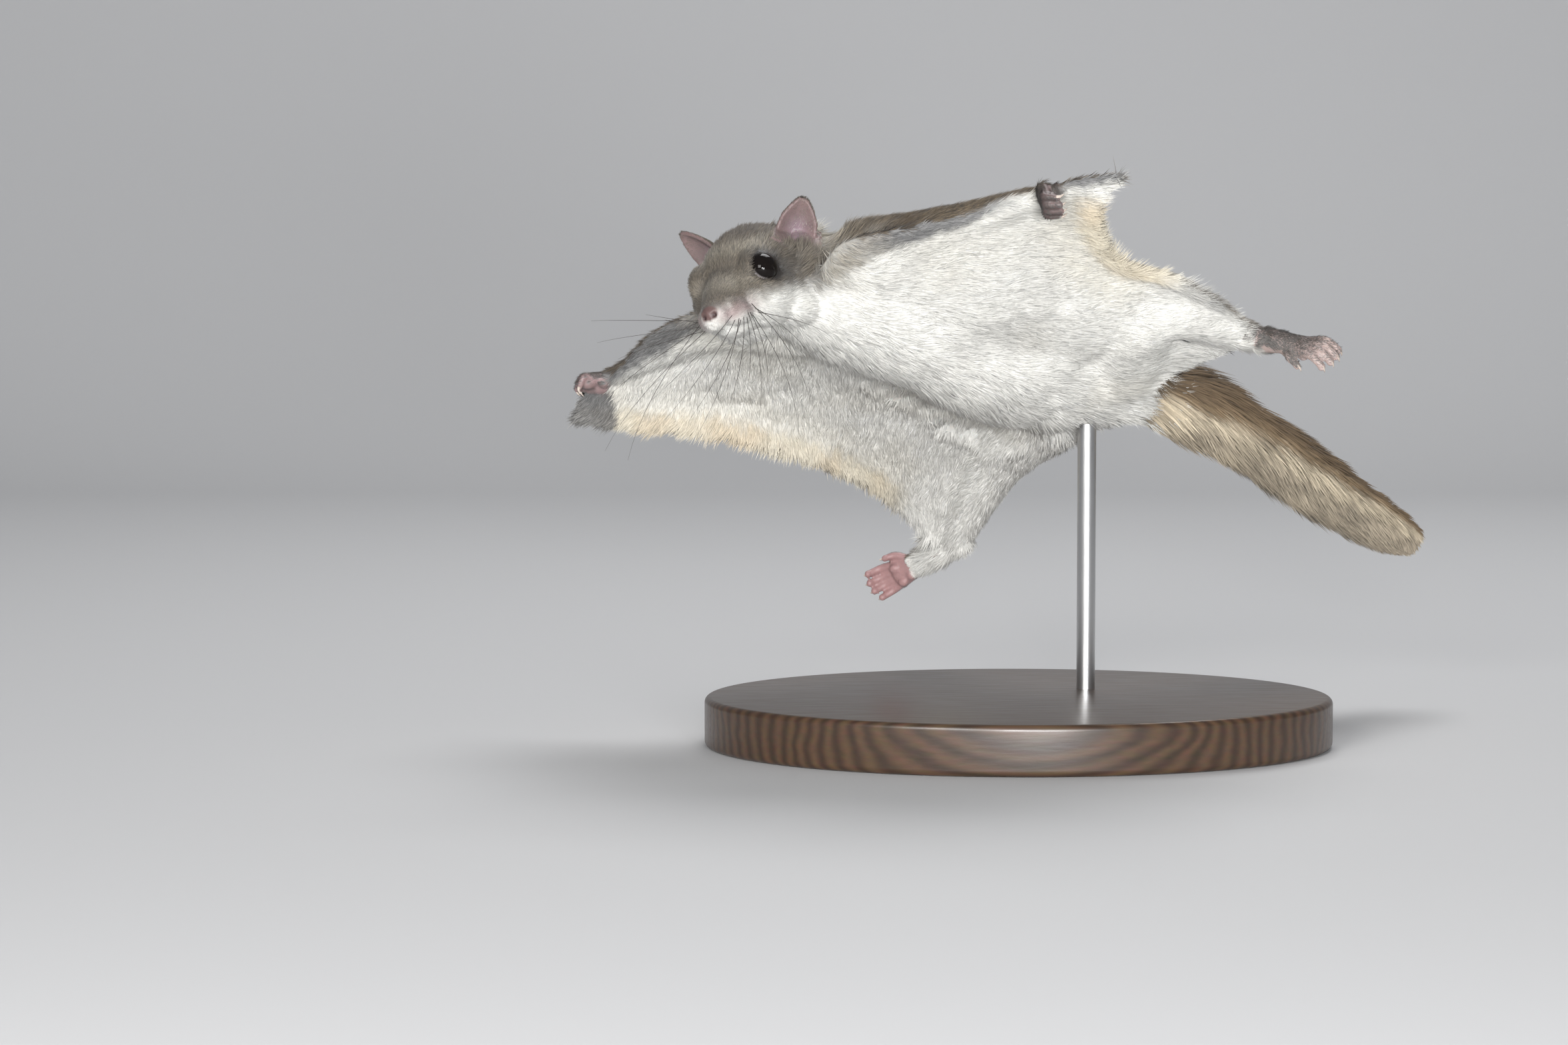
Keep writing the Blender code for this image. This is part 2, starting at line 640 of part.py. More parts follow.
def foot(side, frame, body_cut):
    mirror = SIDES[side]
    big_toe = [mirrored(spot, mirror) for spot in BIG_TOE]
    pieces = [tube(SOLE, frame, sides=14), *digit(*big_toe, BIG_TOE_RADIUS, frame)]
    for k in range(TOES):
        spread = (k - (TOES - 1) / 2) * mirror
        reach = TOE_LONG - 0.5 * (k - 1.3) ** 2
        root = (17, spread * 1.6, 0.2)
        knuckle = (reach - 2.8, spread * 2.1, 0.5)
        tip = (reach, spread * 2.3, -1.6)
        pieces += digit(root, knuckle, tip, TOE_RADIUS, frame)
    for x, y in SOLE_PADS:
        pieces.append(ball((x, y * mirror, -1.5), SOLE_PAD_RADII, frame, segments=12, rings=8))
    made = blended("foot_" + side, pieces, frame, FOOT_SKIN)
    boolean(made, body_cut)
    return keep_largest(made)


# The tail and the stand


def lock(path, up, wide, frame):
    """A flat lock of hair along four points, widest in its middle and pointed at its end."""
    verts = []
    for i, (wider, thicker) in enumerate(((0.6, 1.0), (1.0, 0.9), (0.75, 0.6))):
        along = (path[i + 1] - path[max(i - 1, 0)]).normalized()
        side = along.cross(up).normalized()
        rise = side.cross(along) * LOCK_THICK / 2 * thicker
        side *= wide / 2 * wider
        verts += [path[i] + side, path[i] + rise, path[i] - side, path[i] - rise]
    verts.append(path[3])
    faces = [(0, 1, 2, 3)]
    for k in range(4):
        m = (k + 1) % 4
        faces += [(k, m, 4 + m, 4 + k), (4 + k, 4 + m, 8 + m, 8 + k), (8 + k, 8 + m, 12)]
    return mesh_object("lock", verts, faces, frame)


def tail_locks(frame):
    """Rows of locks round the tail, each from its root inside the core out and back to the coat's outline."""
    rows = sections(TAIL, 8)
    draw = random.Random(11)
    locks = []

    def add(start, end, root_spot, tip_spot, wide):
        path = []
        for t, outward in ((0.0, 0.0), (0.3, 0.55), (0.65, 0.9), (1.0, 1.0)):
            across = root_spot[0] + (tip_spot[0] - root_spot[0]) * outward
            above = root_spot[1] + (tip_spot[1] - root_spot[1]) * outward
            path.append(spot_on(rows, start + (end - start) * t, across, above))
        flat = spot_on(rows, start, 0.12 * tip_spot[0], 1.0) - spot_on(rows, start, 0, 0)
        locks.append(lock(path, flat, wide, frame))

    count = int((1 - LOCK_LONG - LOCK_START) / LOCK_PITCH) + 1
    for k, angle in enumerate(LOCK_ROWS):
        round_x, round_z = math.cos(math.radians(angle)), math.sin(math.radians(angle))
        for i in range(count):
            start = (i + 0.5 * (k % 2) + draw.uniform(-0.12, 0.12)) * LOCK_PITCH + LOCK_START
            long = LOCK_LONG * draw.uniform(0.92, 1.08)
            wide = LOCK_WIDE * draw.uniform(0.88, 1.08)
            root_spot = (LOCK_ROOT * round_x, LOCK_ROOT * round_z)
            add(start, min(start + long, 1.0), root_spot, (round_x, round_z), wide)
    for k in range(TIP_LOCKS):
        across = 2 * k / (TIP_LOCKS - 1) - 1
        add(0.84, TIP_REACH - 0.05 * across**2, (0.25 * across, 0), (0.8 * across, 0.25 * (-1) ** k), LOCK_WIDE)
    return locks


def tail(frame, body_cut):
    """The tail's solid core with its locks of long hair fused to it."""
    core = []
    for (centre, wide, thick, roll), share in zip(TAIL, TAIL_CORE):
        core.append((centre, wide * share, thick * share, roll))
    made = fused(tube(core, frame, sides=14, steps=3, name="tail"), tail_locks(frame))
    boolean(made, body_cut)
    return keep_largest(made)


def stand(body_cut):
    """An oval base with a rounded upper edge, and a rod from it up to the rump, ending against the fur."""
    shape = bmesh.new()
    bmesh.ops.create_circle(shape, cap_ends=True, segments=BASE_SIDES, radius=1.0)
    for v in shape.verts:
        v.co.x *= BASE_LONG / 2 * MM
        v.co.y *= BASE_WIDE / 2 * MM
    top = bmesh.ops.extrude_face_region(shape, geom=shape.faces[:])
    lifted = [v for v in top["geom"] if isinstance(v, bmesh.types.BMVert)]
    bmesh.ops.translate(shape, vec=(0, 0, BASE_HIGH * MM), verts=lifted)
    rim = [e for e in shape.edges if all(v.co.z > 0 for v in e.verts)]
    bmesh.ops.bevel(shape, geom=rim, offset=BASE_ROUND * MM, segments=2, profile=0.5, affect="EDGES")
    base = object_from_bmesh("stand_base", shape, None)
    low, radius = BASE_HIGH + GAP, ROD_RADIUS * MM
    shape = bmesh.new()
    bmesh.ops.create_cone(
        shape, cap_ends=True, segments=ROD_SIDES, radius1=radius, radius2=radius, depth=(ROD_TOP - low) * MM
    )
    bmesh.ops.translate(shape, vec=Vector((*ROD_PLACE, (low + ROD_TOP) / 2)) * MM, verts=shape.verts)
    rod = object_from_bmesh("stand_rod", shape, None)
    boolean(rod, body_cut)
    lowest = min(surfaces(rod), key=lambda item: item[1].z)
    kept = surface_object(rod, "stand_rod_kept", lowest[2], None)
    rod.data = kept.data
    remove([kept])
    return [base, rod]


def main():
    clear_scene()
    body_frame = empty("body_frame", frame_matrix(BODY_PLACE, BODY_TURN))
    head_frame = empty("head_frame", frame_matrix(HEAD_PLACE, HEAD_TURN), body_frame)
    body = body_blend(body_frame)
    body_cut = swollen(body, GAP)
    plain_head, head, eyes = head_parts(head_frame)
    head_cut = swollen(plain_head, GAP + HEAD_SMOOTHING)
    nodes = [head, *eyes]
    for side in SIDES:
        nodes.append(ear(side, head_frame, [head_cut, body_cut]))
        hand_frame = empty("hand_frame_" + side, frame_from_axes(*HAND[side]), body_frame)
        foot_frame = empty("foot_frame_" + side, frame_from_axes(*FOOT[side]), body_frame)
        nodes += [hand(side, hand_frame, body_cut), foot(side, foot_frame, body_cut)]
    nodes.append(tail(body_frame, body_cut))
    nodes += stand(body_cut)
    nodes += parted_body(body, head_cut, body_frame)
    remove([body_cut, head_cut, plain_head])
    for node in nodes:
        plain = node.name.replace("_left", "").replace("_right", "")
        made = bpy.data.materials.new(node.name)
        made.use_nodes = True
        shader = made.node_tree.nodes["Principled BSDF"]
        shader.inputs["Base Color"].default_value = (*COLOURS[plain], 1.0)
        shader.inputs["Roughness"].default_value = ROUGHNESS.get(plain, FUR_ROUGHNESS)
        shader.inputs["Metallic"].default_value = METALLIC.get(plain, 0.0)
        node.data.materials.clear()
        node.data.materials.append(made)
        node.data.shade_smooth()


main()
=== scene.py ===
import itertools
import math

import bpy
import numpy as np
from mathutils import Euler, Matrix, Vector


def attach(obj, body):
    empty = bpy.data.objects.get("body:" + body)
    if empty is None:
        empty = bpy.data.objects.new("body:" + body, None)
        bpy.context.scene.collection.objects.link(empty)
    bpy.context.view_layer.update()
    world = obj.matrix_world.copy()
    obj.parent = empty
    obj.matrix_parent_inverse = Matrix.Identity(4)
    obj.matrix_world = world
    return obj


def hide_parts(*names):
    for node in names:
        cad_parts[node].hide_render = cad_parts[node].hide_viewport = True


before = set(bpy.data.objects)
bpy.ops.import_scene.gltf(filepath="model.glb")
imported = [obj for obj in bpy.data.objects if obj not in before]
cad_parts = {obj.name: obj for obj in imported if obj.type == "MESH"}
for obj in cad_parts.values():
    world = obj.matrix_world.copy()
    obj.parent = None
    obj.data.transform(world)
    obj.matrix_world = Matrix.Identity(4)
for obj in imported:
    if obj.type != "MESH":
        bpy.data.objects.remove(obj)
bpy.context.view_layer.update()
scene = bpy.context.scene
mm = 0.001

# where the animal hangs: its body's frame in the world, and its head's in the body's, as in the solids
pose = {
    "bodyPlace": (-14.0, -2.5, 96.1), "bodyTurn": (29.1, -19.6, -149.4),
    "headPlace": (58.6, -2.4, -5.2), "headTurn": (-2.5, 33.0, 18.5),
}
sides = {"left": 1, "right": -1}


def frameMatrix(place, turn):
    return Matrix.LocRotScale(Vector(place) * mm, Euler([math.radians(a) for a in turn]), None)


def frameFromAxes(place, forward, top):
    x = Vector(forward).normalized()
    y = Vector(top).cross(x).normalized()
    axes = Matrix((x, y, x.cross(y))).transposed().to_4x4()
    return Matrix.Translation(Vector(place) * mm) @ axes


bodyFrame = frameMatrix(pose["bodyPlace"], pose["bodyTurn"])
headFrame = bodyFrame @ frameMatrix(pose["headPlace"], pose["headTurn"])


def inFrame(points, matrix):  # world metres to a frame's millimetres
    turn = np.array(matrix.to_3x3())
    return (points - np.array(matrix.translation)) @ turn / mm


def outOfFrame(spots, matrix):
    return np.asarray(spots, float) * mm @ np.array(matrix.to_3x3()).T + np.array(matrix.translation)


def turned(vectors, matrix):  # directions, from a frame to the world
    return np.asarray(vectors, float) @ np.array(matrix.to_3x3()).T


def unit(vectors):
    return vectors / (np.linalg.norm(vectors, axis=-1, keepdims=True) + 1e-12)


def smoothStep(x, low, high):
    t = np.clip((x - low) / (high - low), 0, 1)
    return t * t * (3 - 2 * t)


def bell(x, wide):  # 1 at nought, and fading over that width
    return np.exp(-((x / wide) ** 2))


def patches(spots, size, seed):  # soft random patches from 0 to 1, of about that size
    cells = 32
    shift = 1000  # keeps the cell numbers positive
    grid = np.random.default_rng(seed).random((cells,) * 3)
    at = np.asarray(spots) / size + shift
    low = np.floor(at).astype(int)
    t = at - low
    t = t * t * (3 - 2 * t)
    total = 0
    for corner in itertools.product((0, 1), repeat=3):
        near = np.abs(1 - np.array(corner) - t)
        cell = (low + corner) % cells
        total = total + near[:, 0] * near[:, 1] * near[:, 2] * grid[tuple(cell.T)]
    return total


def facing(normals, axis, matrix):  # how much normals look along an axis of a frame, from -1 to 1
    return normals @ turned([axis], matrix)[0]


# stage and camera, as the photograph was taken: from the front left, a little below the animal's back

camera = {
    "place": (-0.056, -1.1018, 0.1499), "turn": (85, 0, 0),
    "lens": 106.55, "sensor": 36.0, "clip": (0.05, 20),
}
stage = {
    "floorTone": (0.58, 0.58, 0.5858), "backAt": 0.75, "sweep": 0.35, "sweepSteps": 12,
    "halfWide": 4.2, "nearEdge": -4.0, "wallHigh": 1.8, "gap": 0.0001,
}
lamps = {  # place, aim, size in metres, watts, tone
    "key": ((-0.42, -1.05, 0.42), (-0.01, 0.0, 0.09), 0.36, 6.6, (1.0, 0.985, 0.96)),
    "flash": ((-0.03, -1.22, 0.21), (0.0, 0.0, 0.09), 0.12, 6.4, (1.0, 1.0, 1.0)),
    "low": ((0.14, -1.0, 0.12), (0.0, 0.0, 0.09), 0.20, 5.4, (0.98, 0.99, 1.0)),
    "top": ((0.12, 0.40, 0.90), (0.0, 0.0, 0.09), 0.50, 5.2, (1.0, 1.0, 1.0)),
}
room = {"tone": (0.80, 0.84, 0.90, 1), "strength": 0.22}


def makeCamera():
    data = bpy.data.cameras.new("camera")
    data.lens = camera["lens"]
    data.sensor_width = camera["sensor"]
    data.clip_start, data.clip_end = camera["clip"]
    made = bpy.data.objects.new("camera", data)
    made.location = camera["place"]
    made.rotation_euler = [math.radians(a) for a in camera["turn"]]
    scene.collection.objects.link(made)
    scene.camera = made


def makeLamps():
    for name, (place, aim, size, watts, tone) in lamps.items():
        data = bpy.data.lights.new(name, "AREA")
        data.size = size
        data.energy = watts
        data.color = tone
        made = bpy.data.objects.new(name, data)
        made.location = place
        made.rotation_euler = (Vector(aim) - Vector(place)).to_track_quat("-Z", "Y").to_euler()
        scene.collection.objects.link(made)
    world = bpy.data.worlds.new("room")
    world.use_nodes = True
    background = world.node_tree.nodes["Background"]
    background.inputs["Color"].default_value = room["tone"]
    background.inputs["Strength"].default_value = room["strength"]
    scene.world = world
    scene.view_settings.view_transform = "Standard"


# mesh tools


def newObject(name, mesh):
    made = bpy.data.objects.new(name, mesh)
    scene.collection.objects.link(made)
    return made


def meshOf(name, verts, faces):
    mesh = bpy.data.meshes.new(name)
    mesh.from_pydata([tuple(v) for v in np.asarray(verts).tolist()], [], [tuple(f) for f in faces])
    mesh.update()
    return mesh


def vertsOf(mesh):
    co = np.empty(len(mesh.vertices) * 3, np.float32)
    mesh.vertices.foreach_get("co", co)
    return co.reshape(-1, 3).astype(float)


def normalsOf(mesh):
    found = np.empty(len(mesh.vertices) * 3, np.float32)
    mesh.vertex_normals.foreach_get("vector", found)
    return found.reshape(-1, 3).astype(float)


def trianglesOf(mesh):
    mesh.calc_loop_triangles()
    found = np.empty(len(mesh.loop_triangles) * 3, np.int32)
    mesh.loop_triangles.foreach_get("vertices", found)
    return found.reshape(-1, 3)


def evaluatedMesh(obj):
    bpy.context.view_layer.update()
    graph = bpy.context.evaluated_depsgraph_get()
    return bpy.data.meshes.new_from_object(obj.evaluated_get(graph))


def smoothShaded(obj):
    obj.data.shade_smooth()
    return obj


def floatLayer(mesh, name, values):
    layer = mesh.attributes.new(name, "FLOAT", "POINT")
    layer.data.foreach_set("value", np.asarray(values, np.float32).ravel())


def colourLayer(mesh, name, values):
    layer = mesh.attributes.new(name, "FLOAT_COLOR", "POINT")
    full = np.ones((len(values), 4), np.float32)
    full[:, :3] = values
    layer.data.foreach_set("color", full.ravel())


# clay: closed shapes that the skin is blended from, kept as world points and faces


def newClay():
    return {"verts": [], "faces": [], "count": 0}


def addClay(clay, verts, faces):
    clay["verts"].append(np.asarray(verts, float))
    clay["faces"] += [tuple(clay["count"] + i for i in f) for f in faces]
    clay["count"] += len(verts)


def clayMesh(name, clay):
    return meshOf(name, np.concatenate(clay["verts"]), clay["faces"])


def curveThrough(points, steps):
    rows = [np.array(p, float) for p in points]
    rows = [2 * rows[0] - rows[1], *rows, 2 * rows[-1] - rows[-2]]
    found = []
    for a, b, c, d in zip(rows, rows[1:], rows[2:], rows[3:]):
        for t in np.arange(steps) / steps:
            bend = (2 * a - 5 * b + 4 * c - d) * t**2 + (3 * b - a - 3 * c + d) * t**3
            found.append(b + 0.5 * ((c - a) * t + bend))
    found.append(rows[-2])
    return np.array(found)


def tubeShape(stations, roundSides=20, steps=5):  # stations: centre, half width, half height, roll
    rows = curveThrough([(*s[0], *s[1:3], s[3] if len(s) > 3 else 0) for s in stations], steps)
    last = len(rows) - 1
    rings = []
    for i, row in enumerate(rows):
        centre, wide, high, roll = row[:3], row[3], row[4], math.radians(row[5])
        along = unit(rows[min(i + 1, last), :3] - rows[max(i - 1, 0), :3])
        side = unit(np.cross((0, 0, 1), along))
        up = np.cross(along, side)
        side, up = side * math.cos(roll) + up * math.sin(roll), up * math.cos(roll) - side * math.sin(roll)
        caps = {0: (-0.98, -0.85, -0.5, 0), last: (0, 0.5, 0.85, 0.98)}.get(i, (0,))
        for cap in caps:  # both ends are rounded
            shrink = math.sqrt(1 - cap * cap)
            angles = 2 * np.pi * np.arange(roundSides) / roundSides
            ring = np.outer(np.cos(angles) * wide, side) + np.outer(np.sin(angles) * high, up)
            rings.append(centre + along * cap * min(wide, high) + ring * shrink)
    verts = np.concatenate(rings)
    faces = [tuple(range(roundSides))[::-1], tuple(range(len(verts) - roundSides, len(verts)))]
    for start in range(0, len(verts) - roundSides, roundSides):
        for k in range(roundSides):
            m = (k + 1) % roundSides
            faces.append((start + k, start + m, start + roundSides + m, start + roundSides + k))
    return verts, faces


def ballShape(centre, radii, segments=24, rings=14):
    verts = [(0, 0, 1)]
    for i in range(1, rings):
        for k in range(segments):
            a, b = math.pi * i / rings, 2 * math.pi * k / segments
            verts.append((math.sin(a) * math.cos(b), math.sin(a) * math.sin(b), math.cos(a)))
    verts.append((0, 0, -1))
    faces = []
    for k in range(segments):
        m = (k + 1) % segments
        faces.append((0, 1 + k, 1 + m))
        faces.append((len(verts) - 1, len(verts) - 1 - segments + m, len(verts) - 1 - segments + k))
        for i in range(rings - 2):
            a = 1 + i * segments
            faces.append((a + k, a + segments + k, a + segments + m, a + m))
    return np.array(verts) * np.asarray(radii) + np.asarray(centre), faces


def ringShape(centre, axis, radius, thick, around=48, across=12):
    place = np.array(Vector(axis).to_track_quat("Z", "Y").to_matrix())
    verts, faces = [], []
    for i in range(around):
        a = 2 * math.pi * i / around
        for k in range(across):
            b = 2 * math.pi * k / across
            reach = radius + thick * math.cos(b)
            verts.append((reach * math.cos(a), reach * math.sin(a), thick * math.sin(b)))
            i2, k2 = (i + 1) % around, (k + 1) % across
            faces.append((i * across + k, i2 * across + k, i2 * across + k2, i * across + k2))
    return np.array(verts) @ place.T + np.asarray(centre, float), faces


def sheetShape(grid, halfThick):
    rows, columns = grid.shape[:2]
    normal = unit(np.cross(np.gradient(grid, axis=0), np.gradient(grid, axis=1)))
    half = np.broadcast_to(halfThick, grid.shape[:2])[..., None]
    verts = np.concatenate([(grid + side * normal * half).reshape(-1, 3) for side in (1, -1)])
    far = rows * columns
    faces = []
    for i in range(rows - 1):
        for k in range(columns - 1):
            a = i * columns + k
            quad = (a, a + columns, a + columns + 1, a + 1)
            faces += [quad, tuple(far + v for v in quad[::-1])]
    rim = list(range(columns)) + [i * columns + columns - 1 for i in range(1, rows)]
    rim += [(rows - 1) * columns + k for k in range(columns - 2, -1, -1)]
    rim += [i * columns for i in range(rows - 2, 0, -1)]
    for a, b in zip(rim, rim[1:] + rim[:1]):
        faces.append((a, b, far + b, far + a))
    return verts, faces


def blendedMesh(name, clay, voxel, rounds, swell=0.0):
    obj = newObject(name, clayMesh(name, clay))
    if swell:
        push = obj.modifiers.new("swell", "DISPLACE")
        push.mid_level = 0
        push.strength = swell * mm
    remesh = obj.modifiers.new("blend", "REMESH")
    remesh.mode = "VOXEL"
    remesh.voxel_size = voxel * mm
    relax = obj.modifiers.new("relax", "SMOOTH")
    relax.factor = 0.5
    relax.iterations = rounds
    made = evaluatedMesh(obj)
    bpy.data.objects.remove(obj, do_unlink=True)
    return made


# the flesh: trunk, limbs and skin folds come from the solids, the rest is modelled finer here

flesh = {
    "fromSolids": ("neck", "torso", "arm_left", "arm_right", "leg_left", "leg_right", "patagium_left",
                   "patagium_right"),
    "swell": 0.30, "bodyVoxel": 0.9, "bodyRounds": 10, "voxel": 0.38, "rounds": 3, "triangles": 190000,
}
head = {
    "balls": (((-3, 0, 3), (16, 12, 12)), ((12, 0, -7.4), (7, 4.4, 3))),
    "pairs": (
        ((4, 5, -2), (11, 7, 8)), ((-6, 5.5, -3.5), (11, 7, 8)), ((-5, 9, -4.5), (10, 5, 7)),
        ((15.5, 3.2, -4.8), (4.8, 3.3, 3.3)), ((8.5, 6.6, 3.3), (5.2, 3.8, 5)),
    ),
    "muzzle": (((5, 0, 0), 10, 9.5), ((13.5, 0, -2.6), 6.4, 6.6), ((20, 0, -4.6), 3.7, 3.6)),
    "nosePad": ((21.8, 0, -3.9), (1.7, 2.2, 1.6)),
}
nose = {"place": (22.2, 0, -3.9), "stretch": (1.0, 1.25, 1.0)}
eyes = {
    "place": (8.5, 8.6, 3.3), "axis": (0.45, 0.85, 0.25), "radius": 3.6,
    "lidLift": 1.0, "lidRadius": 3.85, "lidThick": 0.42,
    "open": {"left": (0.12, 0.34), "right": (0.55, 0.75)}, "sink": {"left": 0.15, "right": 1.3},
}
ears = {
    "root": (-5.5, 9.0, 5.0), "tip": {"left": (-6, 15.8, 16.7), "right": (-5.5, -18.3, 17.8)},
    "halfWide": 4.6, "halfThick": 0.46, "faces": (0.8, 0.6, 0),
}
hands = {
    "left": ((29, 67, -3.2), (0.07, 0.36, -0.93), (0.6, -0.75, 0.3)),
    "right": ((54.5, -67.5, 4), (0.80, -0.59, -0.02), (0.3, 0.35, 0.9)),
    "palm": (((0, 0, 0), 2.3, 2.0), ((2, 0, 0), 2.1, 1.7), ((4.5, 0, 0), 2.7, 1.6)),
    "thumbPad": ((1.6, -1.2, -1.5), (1.5, 1.2, 1.0)), "fingerPad": ((5.6, 0, -1.3), (1.9, 2.7, 1.3)),
    "long": 8.4, "radius": 0.82,
}
feet = {
    "left": ((-54, 42.5, 0.5), (-0.19, 0.84, -0.51), (0.75, 0, 0.66)),
    "right": ((-47, -64, -10), (0.24, -0.965, -0.10), (-0.73, -0.25, 0.63)),
    "sole": (
        ((-3, 0, -0.6), 3.7, 3.7), ((7, 0, 0), 3.0, 2.7), ((13, 0, 0), 3.1, 2.0), ((18, 0, 0), 3.9, 1.6),
    ),
    "bigToe": ((13, -2.2, -0.3), (16, -4.4, -0.4), (18.4, -5.0, -1.4)), "bigToeRadius": 0.95,
    "pads": ((17, 2.4), (17.6, -1.6), (14, 1.8), (12.5, -1.6)), "padRadii": (1.4, 1.2, 0.9),
    "long": 25.6, "radius": 1.02,
}
tail = {
    "stations": (
        ((-50, 4, 3), 8, 7, 36), ((-68, 6, 4), 12.4, 10.2, 34), ((-90, 3.4, 2.4), 12.9, 9.2, 26),
        ((-110, -1, 1), 12.2, 7.8, 18), ((-130, -5, 0.2), 10.2, 6.6, 12), ((-149, -8.8, 0.6), 6.4, 5, 8),
    ),
    "core": (0.85, 0.42, 0.36, 0.34, 0.32, 0.3),
}


def mirrored(spot, mirror):
    return (spot[0], spot[1] * mirror, spot[2])


def eyePlace(mirror):
    return np.array(mirrored(eyes["place"], mirror))


def eyeAxis(mirror):
    return unit(np.array(mirrored(eyes["axis"], mirror)))


def eyeDistance(face, mirror):
    return np.linalg.norm(face - eyePlace(mirror), axis=1)


def noseDistance(face):
    return np.linalg.norm((face - np.array(nose["place"])) / np.array(nose["stretch"]), axis=1)


def earGrid(side, rows=26, columns=19):
    root, tip = np.array(mirrored(ears["root"], sides[side])), np.array(ears["tip"][side])
    long = tip - root
    opening = np.array(mirrored(ears["faces"], sides[side]))
    across = unit(np.cross(long, opening))
    opening = unit(np.cross(across, long))
    grid = np.zeros((rows, columns, 3))
    for i in range(rows):
        b = i / (rows - 1)
        wide = ears["halfWide"] * math.sin(math.pi * (0.17 + 0.80 * b)) ** 0.75
        for k in range(columns):
            a = -1 + 2 * k / (columns - 1)
            cup = (0.25 + 0.75 * (1 - b)) * wide * (1 - a * a)
            grid[i, k] = root + long * b + across * a * wide - opening * cup
    return grid


def digitLines(kind, side):  # root, knuckle, tip and radius of each finger or toe, in its limb's frame
    mirror = sides[side]
    lines = []
    for k in range(4):
        spread = (k - 1.5) * mirror
        if kind == "hand":
            reach = hands["long"] - 0.35 * (k - 1.4) ** 2
            root, knuckle = (hands["long"] / 2, spread * 1.2, 0.3), (reach - 1.2, spread * 1.75, 0.5)
            lines.append((root, knuckle, (reach, spread * 1.8, -2.2), hands["radius"]))
        else:
            reach = feet["long"] - 0.5 * (k - 1.3) ** 2
            root, knuckle = (17, spread * 1.6, 0.2), (reach - 2.8, spread * 2.1, 0.5)
            lines.append((root, knuckle, (reach, spread * 2.3, -1.6), feet["radius"]))
    if kind == "foot":
        lines.append((*(mirrored(spot, mirror) for spot in feet["bigToe"]), feet["bigToeRadius"]))
    return lines


limbFrames = {}
for side in sides:
    limbFrames["hand_" + side] = bodyFrame @ frameFromAxes(*hands[side])
    limbFrames["foot_" + side] = bodyFrame @ frameFromAxes(*feet[side])


def solidClay():
    clay = newClay()
    for name in flesh["fromSolids"]:
        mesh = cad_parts[name].data
        addClay(clay, vertsOf(mesh), trianglesOf(mesh).tolist())
    return clay


def headClay(clay):
    def put(shape):
        addClay(clay, outOfFrame(shape[0], headFrame), shape[1])

    for centre, radii in head["balls"]:
        put(ballShape(centre, radii, 40, 24))
    put(tubeShape(head["muzzle"], 32, 8))
    put(ballShape(*head["nosePad"]))
    for side, mirror in sides.items():
        for centre, radii in head["pairs"]:
            put(ballShape(mirrored(centre, mirror), radii, 32, 20))
        axis = eyeAxis(mirror)
        put(ringShape(eyePlace(mirror) + axis * eyes["lidLift"], axis, eyes["lidRadius"], eyes["lidThick"]))
        put(sheetShape(earGrid(side), ears["halfThick"]))


def limbClay(clay):
    for side, mirror in sides.items():
        place = limbFrames["hand_" + side]
        thumb, radii = hands["thumbPad"]
        thumbPad = ballShape(mirrored(thumb, mirror), radii)
        shapes = [tubeShape(hands["palm"]), thumbPad, ballShape(*hands["fingerPad"])]
        for shape in shapes:
            addClay(clay, outOfFrame(shape[0], place), shape[1])
        place = limbFrames["foot_" + side]
        shapes = [tubeShape(feet["sole"])]
        for x, y in feet["pads"]:
            shapes.append(ballShape((x, y * mirror, -1.5), feet["padRadii"]))
        for shape in shapes:
            addClay(clay, outOfFrame(shape[0], place), shape[1])
        for kind in ("hand", "foot"):
            place = limbFrames[kind + "_" + side]
            for root, knuckle, tip, radius in digitLines(kind, side):
                narrow = radius * 0.85
                bone = ((root, radius, radius), (knuckle, radius, radius), (tip, narrow, narrow))
                padSpot = (tip[0], tip[1], tip[2] - radius * 0.45)
                for shape in (tubeShape(bone, 12, 4), ballShape(padSpot, (radius * 0.95,) * 3, 14, 10)):
                    addClay(clay, outOfFrame(shape[0], place), shape[1])


def tailClay(clay):
    stations = [(c, w * k, t * k, roll) for (c, w, t, roll), k in zip(tail["stations"], tail["core"])]
    verts, faces = tubeShape(stations, 24, 8)
    addClay(clay, outOfFrame(verts, bodyFrame), faces)


def makeSkinMesh():
    body = blendedMesh("body", solidClay(), flesh["bodyVoxel"], flesh["bodyRounds"], flesh["swell"])
    clay = newClay()
    addClay(clay, vertsOf(body), trianglesOf(body).tolist())
    headClay(clay)
    limbClay(clay)
    tailClay(clay)
    full = blendedMesh("skin", clay, flesh["voxel"], flesh["rounds"])
    print("blended:", len(full.polygons), "faces")
    obj = newObject("skin", full)
    thin = obj.modifiers.new("thin", "DECIMATE")
    thin.ratio = min(1.0, flesh["triangles"] / (2 * len(full.polygons)))
    made = evaluatedMesh(obj)
    bpy.data.objects.remove(obj, do_unlink=True)
    return made


def crossOf(points, tri):  # each triangle's normal, twice its area long
    return np.cross(points[tri[:, 1]] - points[tri[:, 0]], points[tri[:, 2]] - points[tri[:, 0]])


def scatter(mesh, density, count, rng):  # spots on a mesh, more where the density is higher
    points, normals, tri = vertsOf(mesh), normalsOf(mesh), trianglesOf(mesh)
    area = np.linalg.norm(crossOf(points, tri), axis=1)
    weight = np.cumsum(area * density[tri].mean(axis=1))
    chosen = np.searchsorted(weight, rng.random(count) * weight[-1])
    a, b = rng.random((2, count))
    flip = a + b > 1
    a[flip], b[flip] = 1 - a[flip], 1 - b[flip]
    share = np.stack([1 - a - b, a, b], axis=1)
    picked = tri[chosen]
    spots = np.sum(points[picked] * share[..., None], axis=1)
    return spots, unit(np.sum(normals[picked] * share[..., None], axis=1))


# where a spot of the skin belongs, told in the frames of the body, head, hands and feet

